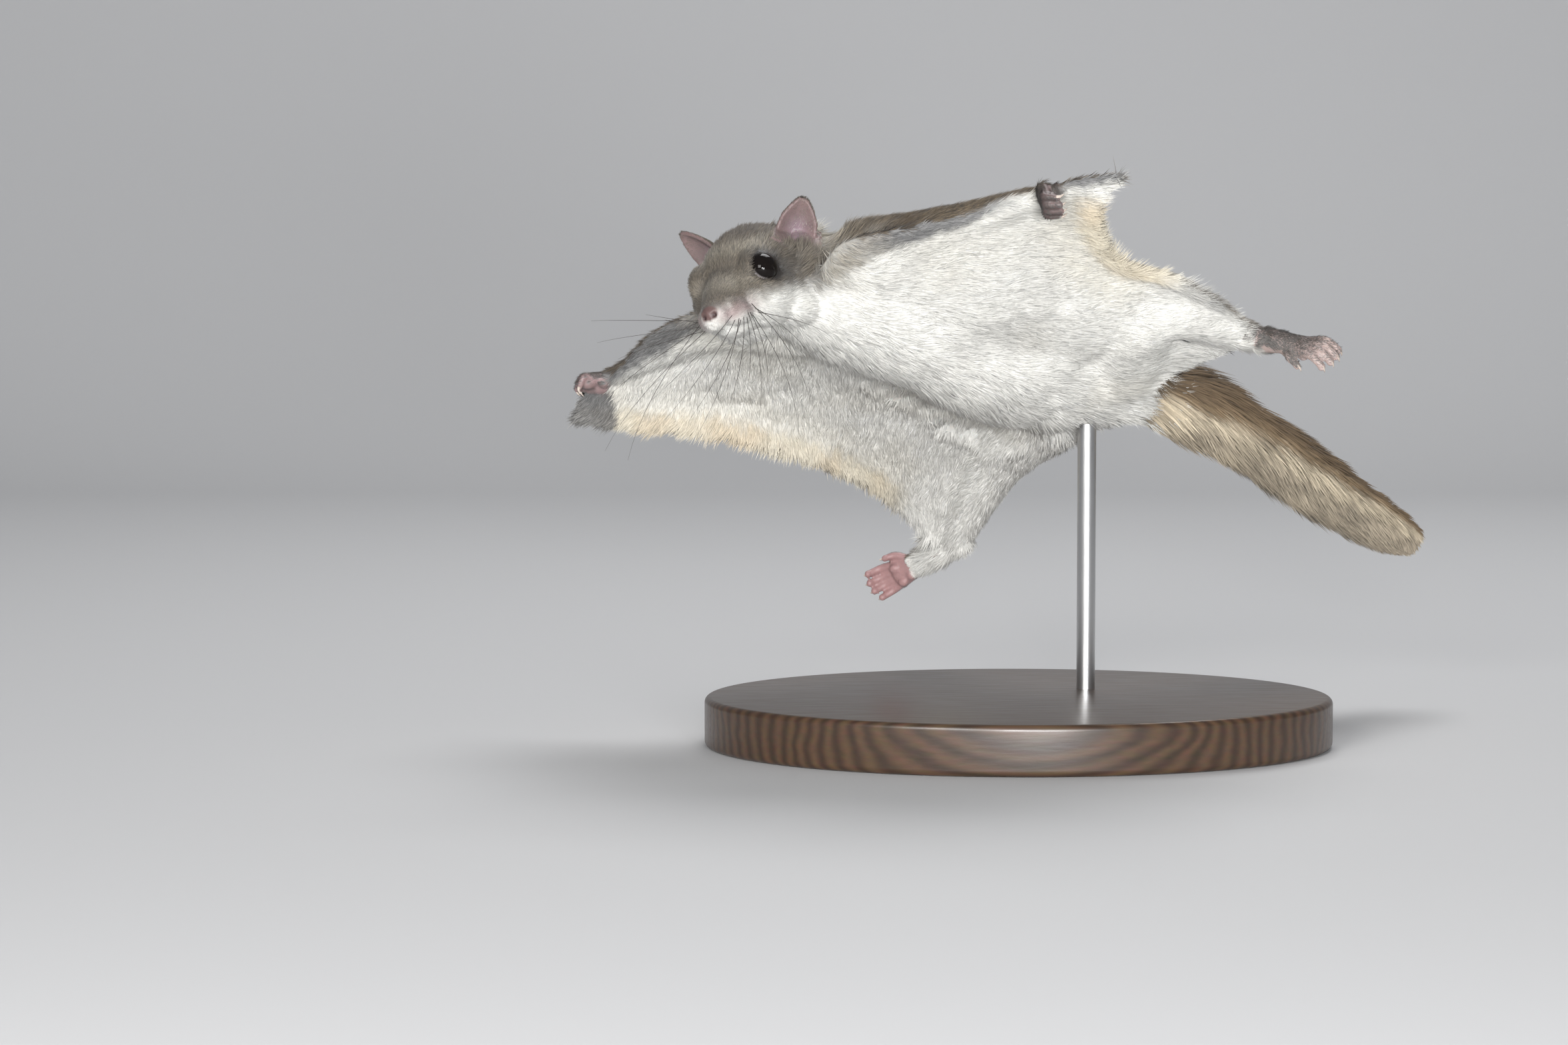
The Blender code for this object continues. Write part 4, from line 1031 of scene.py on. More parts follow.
def skinLooks(points, normals, regions):  # the skin's colour, with painted shade in the folds and the nostrils, and where it is bare
    at = regions["at"]
    root, tip = markings(points, normals, regions)
    colour = root * 0.6 + tip * 0.4
    bareness = np.zeros(len(points))
    for side, mirror in sides.items():
        share = regions["earSkin_" + side]
        across, along = at["ear_" + side].T[:2]
        deep = share * bell(along - 6, 3.0) * bell(across, 2.6)
        colour = blend(blend(colour, "ear", share), "mauve", 0.8 * deep)
        bareness = np.maximum(bareness, share)
        for kind in ("hand", "foot"):
            name = f"{kind}_{side}"
            above, sole, start, _ = paws[name]
            share = regions[name]
            under = smoothStep(facing(normals, (0, 0, -1), limbFrames[name]), -0.5, 0.3)
            along = smoothStep(at[name][:, 0], start - 2, start + 2)
            colour = blend(blend(colour, above, 0.85 * share), sole, share * under * along * 0.9)
            if kind == "hand":
                mottle = smoothStep(patches(points, 1.2 * mm, 51), 0.4, 0.7)
                colour = blend(colour, "footTop", 0.5 * share * mottle)
            bareness = np.maximum(bareness, share)
        rim = 1 - smoothStep(eyeDistance(at["head"], mirror), 4.1, 4.9)
        colour = blend(colour, "ring", rim)
        bareness = np.maximum(bareness, rim)
    # painted shade: the nostrils are coloured near black for the shadow inside their openings
    for mirror in sides.values():
        off = (at["head"] - np.array((22.4, 1.35 * mirror, -4.5))) / np.array((1.6, 0.6, 0.65))
        colour = blend(colour, "nostril", np.exp(-np.sum(off**2, axis=1)))
    return colour, np.maximum(bareness, noseDistance(at["head"]) < 2.4)


def makeSkin():
    mesh = makeSkinMesh()
    points = vertsOf(mesh)
    points = points + skinMoves(points, normalsOf(mesh), regionsOf(points)) * mm
    mesh.vertices.foreach_set("co", points.astype(np.float32).ravel())
    mesh.update()
    colour, bareness = skinLooks(points, normalsOf(mesh), regionsOf(points))
    colourLayer(mesh, "coat", colour)
    floatLayer(mesh, "bare", bareness)
    unwrapSkin(mesh)
    return smoothShaded(newObject("skin", mesh))


# coat: closed tufts of four faces, a flat three-sided root and a tip, lying along the coat

tuftFaces = np.array([[0, 2, 3], [2, 1, 3], [0, 1, 2], [0, 3, 1]])
coat = {
    "count": 270000, "quickCount": 60000, "pieces": 6, "seed": 4,
    "patch": 0.0015, "sink": 0.05, "colours": (0.01, 0.9),
    "turns": ((34, 5, 41), (46, 1.7, 42)),  # degrees, size of the patches in millimetres, their seed
    "ownTurn": 9, "ownLift": 4, "lifts": (3, 40),  # degrees
}


def fastMesh(name, verts, tri, uvs, colours, vertNormals):
    mesh = bpy.data.meshes.new(name)
    mesh.vertices.add(len(verts))
    mesh.vertices.foreach_set("co", verts.astype(np.float32).ravel())
    mesh.loops.add(tri.size)
    mesh.loops.foreach_set("vertex_index", tri.astype(np.int32).ravel())
    mesh.polygons.add(len(tri))
    mesh.polygons.foreach_set("loop_start", np.arange(0, tri.size, 3, dtype=np.int32))
    mesh.update(calc_edges=True)
    mesh.shade_smooth()
    mesh.uv_layers.new(name="OFBake").data.foreach_set("uv", uvs[tri.ravel()].astype(np.float32).ravel())
    colourLayer(mesh, "coat", colours)

    # each hair is lit with the skin's own curve
    cornerNormals = unit(vertNormals)[tri]
    layer = mesh.attributes.new("custom_normal", "FLOAT_VECTOR", "CORNER")
    layer.data.foreach_set("vector", cornerNormals.astype(np.float32).ravel())
    return mesh


def hairPieces(name, order, pieces, shape, verts, uvs, colours, vertNormals):  # cut up along an order
    each = len(verts) // len(order)
    made = []
    for number, part in enumerate(np.array_split(order, pieces)):
        pick = (each * part[:, None] + np.arange(each)).ravel()
        faces = (each * np.arange(len(part))[:, None, None] + shape).reshape(-1, 3)
        pieceName = f"{name}_{number + 1}"
        mesh = fastMesh(pieceName, verts[pick], faces, uvs[pick], colours[pick], vertNormals[pick])
        made.append(newObject(pieceName, mesh))
    return made


def coatDensity(mesh):  # the smaller the hair the more of it, and none on bare places and the tail
    normals, regions = normalsOf(mesh), regionsOf(vertsOf(mesh))
    long, wide = coatOf(regions)[:2]
    density = 0.75 / (long * wide * 1e6) + 0.25
    density *= 1 - barePlaces(regions, normals)
    return density * (1 - regions["tail"] * smoothStep(-regions["at"]["body"][:, 0], 56, 62))


def coatRims(regions):  # 1 where the hair stands out past an edge, and how much longer it is there
    body = regions["at"]["body"]
    rim, longer = np.zeros(len(body)), np.ones(len(body))
    for side in sides:
        far = farFrom(body, freeEdges[side])
        longer = longer * (1 + 0.45 * bell(far, 3))
        rim = np.maximum(rim, np.maximum(bell(far, 4.5), 0.7 * regions["ear_" + side]))
    rump = smoothStep(-body[:, 0], 40, 50) * (np.abs(body[:, 1]) < 20)
    behindEar = np.linalg.norm(regions["at"]["head"] - np.array((-13, 9, 8)), axis=1)
    rim = np.maximum(np.maximum(rim, rump), np.exp(-((behindEar / 7.5) ** 4)))
    return rim, longer * (1 + 0.5 * rump)


def coatShines(normals, heading, across, rim, lean):  # lit a little from the front, past an edge fully so
    front = turned([(0.7, 0.7, 0)], bodyFrame)[0]
    wrap = unit(front - heading * (heading @ front)[:, None])
    shine = normals * (1 - 0.75 * rim)[:, None] + wrap * (0.2 + 0.8 * rim)[:, None] + lean
    shines = [shine + across * 0.6, shine - across * 0.6, shine - heading * 0.15, shine + heading * 0.3]
    return np.stack(shines, axis=1).reshape(-1, 3)


def growCoat(mesh):
    rng = np.random.default_rng(coat["seed"])
    count = coat["count"]
    roots, normals = scatter(mesh, coatDensity(mesh), count, rng)
    regions = regionsOf(roots)
    long, wide, lift = coatOf(regions)
    lie = lieOf(roots, normals, regions)
    across = np.cross(normals, lie)

    # neighbours turn and stand together, so that the coat parts into locks
    turn = np.zeros(count)
    for degrees, size, seed in coat["turns"]:
        turn += np.radians(degrees) * (patches(roots, size * mm, seed) - 0.5)
    turn += np.radians(coat["ownTurn"]) * rng.standard_normal(count)
    lift = lift * (0.55 + 0.9 * patches(roots, 2.2 * mm, 43))
    lift += np.radians(coat["ownLift"]) * rng.standard_normal(count)
    rim, longer = coatRims(regions)
    long = long * (0.75 + 0.5 * patches(roots, 3 * mm, 44)) * rng.uniform(0.75, 1.15, count) * longer
    heading = lie * np.cos(turn)[:, None] + across * np.sin(turn)[:, None]
    across = np.cross(normals, heading)
    upward = np.clip(lift, *np.radians(coat["lifts"]))
    tipWay = heading * np.cos(upward)[:, None] + normals * np.sin(upward)[:, None]
    base = roots - normals * (coat["sink"] * mm)
    half = across * (wide / 2)[:, None]
    tips = roots + tipWay * long[:, None]
    ridge = base + normals * (wide * 0.22)[:, None] + tipWay * (long * 0.25)[:, None]
    verts = np.stack([base + half, base - half, ridge, tips], axis=1).reshape(-1, 3)
    rootColour, tipColour = markings(roots, normals, regions)
    grizzle = 0.08 + 0.26 * (1 - smoothStep(tipColour[:, 1], 0.25, 0.65))
    tone = 1 + grizzle * rng.standard_normal(count) + grizzle * 1.6 * (patches(roots, 1.3 * mm, 45) - 0.5)
    tone = np.clip(tone, 0.45, 1.6)[:, None]
    mid = rootColour * 0.45 + tipColour * 0.55
    colours = np.stack([rootColour, rootColour, mid, tipColour * tone], axis=1)
    colours = np.clip(colours.reshape(-1, 3), *coat["colours"])
    lean = across * (0.30 * rng.standard_normal(count))[:, None]
    lean += heading * (0.22 * rng.standard_normal(count))[:, None]
    vertNormals = coatShines(normals, heading, across, rim, lean)
    ids = islandsOf(regions, normals)
    corners = np.array([(-1, -1), (1, -1), (0, 0), (0, 1)]) * coat["patch"]
    uvs = (placesIn(regions["at"], ids)[:, None] + corners).reshape(-1, 2)
    order = np.argsort(regions["at"]["body"][:, 0], kind="stable")
    return hairPieces("coat", order, coat["pieces"], tuftFaces, verts, uvs, colours, vertNormals)


# tail: long locks that leave the core and sweep out and back to the brush's outline

brush = {
    "count": 15000, "quickCount": 5000, "pieces": 2, "seed": 9, "long": 105.0,
    "wide": 0.62, "thick": (0.55, 1.0, 0.8), "sweep": 0.135, "fall": 0.65,
    "rise": ((0.0, 0.28), (0.30, 0.60), (0.64, 0.86), (1.0, 1.0)),  # along a lock: how far back, how far out
}


def tailAt(share, angle, reach):  # a spot of the brush, in body millimetres, and the way out
    rows = curveThrough([(*c, w, t, roll) for c, w, t, roll in tail["stations"]], 24)
    last = len(rows) - 1
    whole = np.clip(share, 0, 1) * last
    low = np.minimum(whole.astype(int), last - 1)
    row = rows[low] + (rows[low + 1] - rows[low]) * (whole - low)[:, None]
    along = unit(rows[np.minimum(low + 2, last), :3] - rows[np.maximum(low - 1, 0), :3])
    centre = row[:, :3] + along * (np.maximum(share - 1, 0) * brush["long"])[:, None]
    side = unit(np.cross((0, 0, 1), along))
    up = np.cross(along, side)
    roll = np.radians(row[:, 5])[:, None]
    side, up = side * np.cos(roll) + up * np.sin(roll), up * np.cos(roll) - side * np.sin(roll)
    close = np.sqrt(np.clip(1 - np.maximum(share - 0.96, 0) ** 2 / 0.012, 0.02, 1))  # towards the tip
    out = side * (row[:, 3] * np.cos(angle))[:, None] + up * (row[:, 4] * np.sin(angle))[:, None]
    return centre + out * (reach * close)[:, None], unit(out)


def lockFaces():  # three triangles, one behind the other, and a tip
    shape = [[0, 1, 2], [6, 8, 9], [8, 7, 9], [7, 6, 9]]
    for a in (0, 3):
        for p, q in ((0, 2), (2, 1), (1, 0)):
            shape += [[a + p, a + q, a + 3 + q], [a + p, a + 3 + q, a + 3 + p]]
    return np.array(shape)


def brushColours(share, height, facesViewer, tone):  # brown along the upper side, buff below, paler tips
    back, crest = smoothStep(height, -0.15, 0.20), smoothStep(height, 0.05, 0.55)
    crease = bell(height + 0.22, 0.22) * facesViewer
    start = 1 - smoothStep(share, -0.01, 0.07)
    root = np.tile(np.array(palette["tailUnder"]) * 0.75, (len(share), 1))
    tip = np.tile(palette["tailUnder"], (len(share), 1))
    root, tip = blend(root, "tailSide", back * 0.8), blend(tip, "tailSide", back)
    root, tip = blend(root, "tailTopRoot", crest), blend(tip, "tailTop", crest * 0.85)
    tip = blend(tip, "tailPale", 0.7 * crease)
    root, tip = blend(root, "tailSide", 0.6 * start), blend(tip, "tailPale", 0.7 * start * (1 - back))
    colours = [root * 0.8] * 3 + [root * 0.5 + tip * 0.5] * 3 + [tip] * 3 + [tip * 1.12]
    colours = np.stack([c * tone[:, None] for c in colours], axis=1)
    return np.clip(colours.reshape(-1, 3), *coat["colours"])


def growBrush():
    rng = np.random.default_rng(brush["seed"])
    count = brush["count"]
    share = rng.uniform(-0.005, 0.96, count)
    share[: count // 8] = rng.uniform(0.85, 0.97, count // 8)  # more at the tip
    angle = rng.uniform(0, 2 * np.pi, count)
    spread = np.stack([share * brush["long"], np.cos(angle) * 9, np.sin(angle) * 9], axis=1)
    clump, wave = patches(spread, 2.6, 61), patches(spread, 5.5, 62)
    sweep = brush["sweep"] * (0.75 + 0.5 * clump) * rng.uniform(0.75, 1.2, count)
    sweep *= 1 - 0.55 * smoothStep(share, 0.7, 0.97)
    tipReach = (0.86 + 0.22 * wave) * rng.uniform(0.86, 1.05, count)
    inner = rng.random(count) < 0.25
    tipReach[inner] *= 0.8
    swirl = angle + 0.40 * (clump - 0.5) + 0.05 * rng.standard_normal(count)
    swirl += brush["fall"] * np.maximum(-np.cos(angle), 0)
    core = np.interp(np.clip(share, 0, 1), np.linspace(0, 1, len(tail["core"])), tail["core"])
    rows = []
    for back, rise in brush["rise"]:
        reach = core * 0.8 + (tipReach - core * 0.8) * (rise - 0.28) / 0.72
        spot, out = tailAt(share + sweep * back, angle + (swirl - angle) * back, reach)
        rows.append((outOfFrame(spot, bodyFrame), turned(out, bodyFrame)))
    wide = brush["wide"] * mm * rng.uniform(0.75, 1.25, count)
    tips, tipsOut = rows[3]
    heading = unit(tips - rows[0][0])
    light, tipLight = turned([(0.2, 0.25, -0.1), (0.35, 0.45, -0.15)], bodyFrame)
    verts, vertNormals = [], []
    for (spot, out), size in zip(rows, brush["thick"]):
        side = unit(np.cross(out, heading))
        half = side * (wide * size / 2)[:, None]
        verts += [spot + half, spot - half, spot + out * (wide * size * 0.3)[:, None]]
        shine = out + light
        vertNormals += [shine + side * 0.6, shine - side * 0.6, shine]
    verts = np.stack([*verts, tips], axis=1).reshape(-1, 3)
    vertNormals = np.stack([*vertNormals, tipsOut + tipLight], axis=1).reshape(-1, 3)
    height = np.sin(swirl) + 0.5 * (wave - 0.5) + 0.42 - 0.35 * np.clip(share, 0, 1)
    tone = np.clip(1 + 0.16 * rng.standard_normal(count) + 0.9 * (clump - 0.5), 0.5, 1.5)
    colours = brushColours(share, height, np.cos(angle) < 0, tone)
    ids = np.where(np.sin(angle) > 0, islandNames.index("tailTop"), islandNames.index("tailUnder"))
    corners = [(x, y) for y in (-1, -0.35, 0.35) for x in (-1, 1, 0)] + [(0, 1)]
    centre = placesIn({"body": inFrame(rows[1][0], bodyFrame)}, ids)
    uvs = (centre[:, None, :] + np.array(corners) * coat["patch"]).reshape(-1, 2)
    order = np.argsort(share, kind="stable")
    return hairPieces("brush", order, brush["pieces"], lockFaces(), verts, uvs, colours, vertNormals)


# eyes, claws and whiskers

eyeCorner = {"way": (0.84, 0.12, -0.53), "round": (0.82, 0.88), "ring": (0.40, 0.48)}
claws = {"radius": 0.42, "long": 2.3, "hook": 0.9, "steps": 8, "sides": 10, "blunt": 0.04}
whiskers = {
    "row": ((12.6, 7.9, -4.0), (19.2, 4.6, -4.8)), "rowDrop": 1.1, "seed": 17,
    "radius": 0.062, "tipRadius": 0.018, "sides": 5, "steps": 9,
    # direction in the picture in degrees, length in millimetres, how far it leaves the face to the viewer
    "left": (
        (-136, 29, 0.5), (-127, 30, 0.2), (-119, 28, 0.7), (-110, 30, 0.3), (-101, 26, 0.6), (-93, 21, 0.3),
        (-83, 26, 0.4), (-76, 22, 0.8), (-67, 28, 0.3), (-57, 29, 0.6), (-38, 18, 0.5), (-14, 17, 0.3),
    ),
    "right": (
        (178, 27, -0.3), (186, 25, -0.1), (196, 24, -0.5), (206, 29, 0.1),
        (216, 33, -0.2), (228, 35, 0.1), (240, 36, 0.3), (170, 16, -0.5),
    ),
}


def makeEye(side):
    mirror = sides[side]
    axis = eyeAxis(mirror)
    verts, faces = ballShape((0, 0, 0), (eyes["radius"],) * 3, 64, 48)
    spots = verts @ np.array(Vector(axis).to_track_quat("Z", "Y").to_matrix()).T
    placed = outOfFrame(spots + (eyePlace(mirror) - axis * eyes["sink"][side]), headFrame)
    made = newObject("eye_ball_" + side, meshOf("eye_" + side, placed, faces))
    # the corner towards the nose, below: a pale sliver, then the dark iris
    corner = unit(np.array(mirrored(eyeCorner["way"], mirror)))
    pale = smoothStep(unit(spots) @ corner, *eyeCorner["round"])
    floatLayer(made.data, "pale", pale * (1 - smoothStep(unit(spots) @ axis, *eyeCorner["ring"])))
    return smoothShaded(made)


def taperedTube(path, radii, sidesAround):
    path = np.asarray(path, float)
    verts, faces = [], []
    way = unit(np.gradient(path, axis=0))
    side = unit(np.cross(way, (0.31, 0.17, 0.93)))
    for spot, along, across, radius in zip(path, way, side, radii):
        up = np.cross(along, across)
        for k in range(sidesAround):
            a = 2 * math.pi * k / sidesAround
            verts.append(spot + (across * math.cos(a) + up * math.sin(a)) * radius)
    last = (len(path) - 1) * sidesAround
    for start in range(0, last, sidesAround):
        for k in range(sidesAround):
            m = (k + 1) % sidesAround
            faces.append((start + k, start + m, start + sidesAround + m, start + sidesAround + k))
    faces.append(tuple(range(sidesAround))[::-1])
    faces.append(tuple(range(last, last + sidesAround)))
    return np.array(verts), faces


def makeClaws():
    clay = newClay()
    for side in sides:
        for kind in ("hand", "foot"):
            for _, knuckle, tip, radius in digitLines(kind, side):
                knuckle, tip = np.array(knuckle), np.array(tip)
                forward = unit(tip - knuckle)
                down = unit(np.array((0, 0, -1)) + forward * forward[2])
                start = tip + forward * radius * 0.15 + np.array((0, 0, 0.25))
                path, radii = [], []
                for t in np.linspace(0, 1, claws["steps"]):
                    ahead = forward * claws["long"] * t * (1 - 0.35 * t)
                    path.append(start + ahead + down * claws["hook"] * 1.6 * t * t)
                    radii.append(claws["radius"] * (1 - t) ** 0.75 + claws["blunt"])
                verts, faces = taperedTube(path, radii, claws["sides"])
                addClay(clay, outOfFrame(verts, limbFrames[kind + "_" + side]), faces)
    return smoothShaded(newObject("claws", clayMesh("claws", clay)))


def makeWhiskers():
    rng = np.random.default_rng(whiskers["seed"])
    clay = newClay()
    t = np.linspace(0, 1, whiskers["steps"])[:, None]
    radii = whiskers["radius"] * mm * (1 - t[:, 0]) ** 0.7 + whiskers["tipRadius"] * mm
    for side, mirror in sides.items():
        back, front = (np.array(mirrored(spot, mirror)) for spot in whiskers["row"])
        for number, (angle, long, near) in enumerate(whiskers[side]):
            spot = back + (front - back) * (0.9 - 0.9 * number / len(whiskers[side]))
            spot[2] -= whiskers["rowDrop"] * (number % 3) + rng.uniform(-0.2, 0.2)
            start = outOfFrame([spot + np.array((0, -0.6 * mirror, 0))], headFrame)[0]
            a = math.radians(angle)
            way = unit(np.array((math.cos(a), -near, math.sin(a))))
            out = turned([(0.1, mirror, 0.0)], headFrame)[0]
            bow = unit(out * 1.2 + way * 0.5)
            path = start + way * long * mm * t + bow * (0.16 * long * mm) * (t * (1 - t) * 2.2)
            path = path + np.array((0, 0, -0.05)) * t**3 * long * mm  # the tips hang down a little
            addClay(clay, *taperedTube(path, radii, whiskers["sides"]))
    return smoothShaded(newObject("whiskers", clayMesh("whiskers", clay)))


# stand: an oval wooden base with a rounded rim and a thin rod

standBase = {"size": (150, 110, 12), "round": 1.5, "around": 160, "rimSteps": 8}
rod = {"place": (17, 14), "radius": 2.25, "low": 11.5, "high": 76.2, "around": 48}
sharpAngle = 35


def turnedShape(profile, around, squeeze=1.0):  # rings of (radius, height), closed by fans at both ends
    verts, faces = [], []
    for radius, height in profile:
        for k in range(around):
            a = 2 * math.pi * k / around
            verts.append((radius * math.cos(a), radius * squeeze * math.sin(a), height))
    for row in range(len(profile) - 1):
        for k in range(around):
            m = (k + 1) % around
            faces.append((row * around + k, row * around + m, (row + 1) * around + m, (row + 1) * around + k))
    faces.append(tuple(range(around))[::-1])
    faces.append(tuple(range((len(profile) - 1) * around, len(profile) * around)))
    return np.array(verts), faces


def makeStand():
    long, wide, high = standBase["size"]
    r = standBase["round"]
    profile = []
    for corner, first in ((r, -90), (high - r, 0)):
        for step in range(standBase["rimSteps"] + 1):
            a = math.radians(first + 90 * step / standBase["rimSteps"])
            profile.append((long / 2 - r + r * math.cos(a), corner + r * math.sin(a)))
    verts, faces = turnedShape(profile, standBase["around"], wide / long)
    wood = newObject("base_top", meshOf("base_top", verts * mm, faces))
    steps = [(rod["radius"], rod["low"]), (rod["radius"], rod["high"])]
    verts, faces = turnedShape(steps, rod["around"])
    verts = verts + np.array((*rod["place"], 0))
    steel = newObject("rod", meshOf("rod", verts * mm, faces))
    for obj in (wood, steel):
        obj.data.shade_smooth()
        obj.data.set_sharp_from_angle(angle=math.radians(sharpAngle))
    return wood, steel


# materials


def newTree(name):
    made = bpy.data.materials.new(name)
    made.use_nodes = True
    made.node_tree.nodes.clear()
    return made, made.node_tree


def addNode(tree, kind, at=(0, 0), inputs=None, **settings):
    node = tree.nodes.new(kind)
    node.location = at
    for key, value in settings.items():
        setattr(node, key, value)
    for label, value in (inputs or {}).items():
        node.inputs[label].default_value = value
    return node


def showShader(tree, shader):
    output = addNode(tree, "ShaderNodeOutputMaterial", (shader.location.x + 300, 0))
    tree.links.new(shader.outputs[0], output.inputs["Surface"])


def newGroup(name, ins, outs):
    tree = bpy.data.node_groups.new(name, "ShaderNodeTree")
    for label, kind, value in ins:
        socket = tree.interface.new_socket(label, in_out="INPUT", socket_type=kind)
        socket.default_value = value
    for label, kind in outs:
        tree.interface.new_socket(label, in_out="OUTPUT", socket_type=kind)
    return tree, addNode(tree, "NodeGroupInput", (-900, 0)), addNode(tree, "NodeGroupOutput", (600, 0))


def makeHairGroup():  # coat colour with fine variation, for the tufts, the brush and the skin under them
    tree, ins, outs = newGroup("hairColour", [
        ("Scale", "NodeSocketFloat", 900.0), ("Variation", "NodeSocketFloat", 0.2),
        ("Darken", "NodeSocketFloat", 1.0),
    ], [("Colour", "NodeSocketColor"), ("Roughness", "NodeSocketFloat"), ("Height", "NodeSocketFloat")])
    link = tree.links.new
    stored = addNode(tree, "ShaderNodeAttribute", (-700, 250), attribute_name="coat")
    place = addNode(tree, "ShaderNodeTexCoord", (-900, -250))
    noise = addNode(tree, "ShaderNodeTexNoise", (-650, -200), inputs={"Detail": 3})
    link(place.outputs["Object"], noise.inputs["Vector"])
    link(ins.outputs["Scale"], noise.inputs["Scale"])
    centred = addNode(tree, "ShaderNodeMath", (-450, -150), operation="SUBTRACT", inputs={1: 0.5})
    link(noise.outputs["Fac"], centred.inputs[0])
    scaled = addNode(tree, "ShaderNodeMath", (-270, -120), operation="MULTIPLY_ADD")
    link(centred.outputs[0], scaled.inputs[0])
    link(ins.outputs["Variation"], scaled.inputs[1])
    link(ins.outputs["Darken"], scaled.inputs[2])
    toned = addNode(tree, "ShaderNodeVectorMath", (-80, 150), operation="SCALE")
    link(stored.outputs["Color"], toned.inputs[0])
    link(scaled.outputs[0], toned.inputs["Scale"])
    rough = addNode(tree, "ShaderNodeMapRange", (-80, -150), inputs={"To Min": 0.55, "To Max": 0.80})
    link(noise.outputs["Fac"], rough.inputs["Value"])
    link(toned.outputs[0], outs.inputs["Colour"])
    link(rough.outputs[0], outs.inputs["Roughness"])
    link(noise.outputs["Fac"], outs.inputs["Height"])
    return tree


hairGroup = makeHairGroup()


def coatMaterial(name, variation, sheen):
    made, tree = newTree(name)
    hair = addNode(tree, "ShaderNodeGroup", (-500, 0), node_tree=hairGroup, inputs={
        "Scale": 1100.0, "Variation": variation,
    })
    shader = addNode(tree, "ShaderNodeBsdfPrincipled", (0, 0), inputs={
        "Sheen Weight": sheen, "Sheen Roughness": 0.5, "Specular IOR Level": 0.28,
    })
    tree.links.new(hair.outputs["Colour"], shader.inputs["Base Color"])
    tree.links.new(hair.outputs["Roughness"], shader.inputs["Roughness"])
    showShader(tree, shader)
    return made


def skinMaterial():
    made, tree = newTree("skin")
    link = tree.links.new
    hair = addNode(tree, "ShaderNodeGroup", (-700, 100), node_tree=hairGroup, inputs={
        "Scale": 700.0, "Variation": 0.35, "Darken": 0.95,
    })
    bare = addNode(tree, "ShaderNodeAttribute", (-700, -350), attribute_name="bare")
    creases = addNode(
        tree, "ShaderNodeTexVoronoi", (-700, -150), feature="DISTANCE_TO_EDGE", inputs={"Scale": 1500.0},
    )
    place = addNode(tree, "ShaderNodeTexCoord", (-900, -150))
    link(place.outputs["Object"], creases.inputs["Vector"])
    height = addNode(tree, "ShaderNodeMix", (-450, -150))
    link(bare.outputs["Fac"], height.inputs["Factor"])
    link(hair.outputs["Height"], height.inputs["A"])
    link(creases.outputs["Distance"], height.inputs["B"])
    bump = addNode(tree, "ShaderNodeBump", (-250, -250), inputs={"Strength": 0.35, "Distance": 0.0002})
    link(height.outputs[0], bump.inputs["Height"])
    rough = addNode(tree, "ShaderNodeMix", (-450, 50), inputs={"B": 0.48})
    link(bare.outputs["Fac"], rough.inputs["Factor"])
    link(hair.outputs["Roughness"], rough.inputs["A"])
    shader = addNode(tree, "ShaderNodeBsdfPrincipled", (0, 0), inputs={
        "Subsurface Weight": 0.15, "Subsurface Radius": (0.0012, 0.0005, 0.0003), "Subsurface Scale": 1.0,
    })
    link(hair.outputs["Colour"], shader.inputs["Base Color"])
    link(rough.outputs[0], shader.inputs["Roughness"])
    link(bump.outputs[0], shader.inputs["Normal"])
    showShader(tree, shader)
    return made


def eyeMaterial():
    made, tree = newTree("eye")
    link = tree.links.new
    pale = addNode(tree, "ShaderNodeAttribute", (-600, 100), attribute_name="pale")
    colour = addNode(tree, "ShaderNodeMix", (-300, 100), data_type="RGBA", inputs={
        "A": (0.007, 0.0055, 0.005, 1), "B": (0.24, 0.22, 0.22, 1),
    })
    link(pale.outputs["Fac"], colour.inputs["Factor"])
    shader = addNode(tree, "ShaderNodeBsdfPrincipled", (0, 0), inputs={"Roughness": 0.05, "IOR": 1.25})
    link(colour.outputs["Result"], shader.inputs["Base Color"])
    showShader(tree, shader)
    return made


def plainMaterial(name, colour, roughness, coating=0.0):
    made, tree = newTree(name)
    shader = addNode(tree, "ShaderNodeBsdfPrincipled", (0, 0), inputs={
        "Base Color": (*colour, 1), "Roughness": roughness, "Coat Weight": coating,
    })
    showShader(tree, shader)
    return made


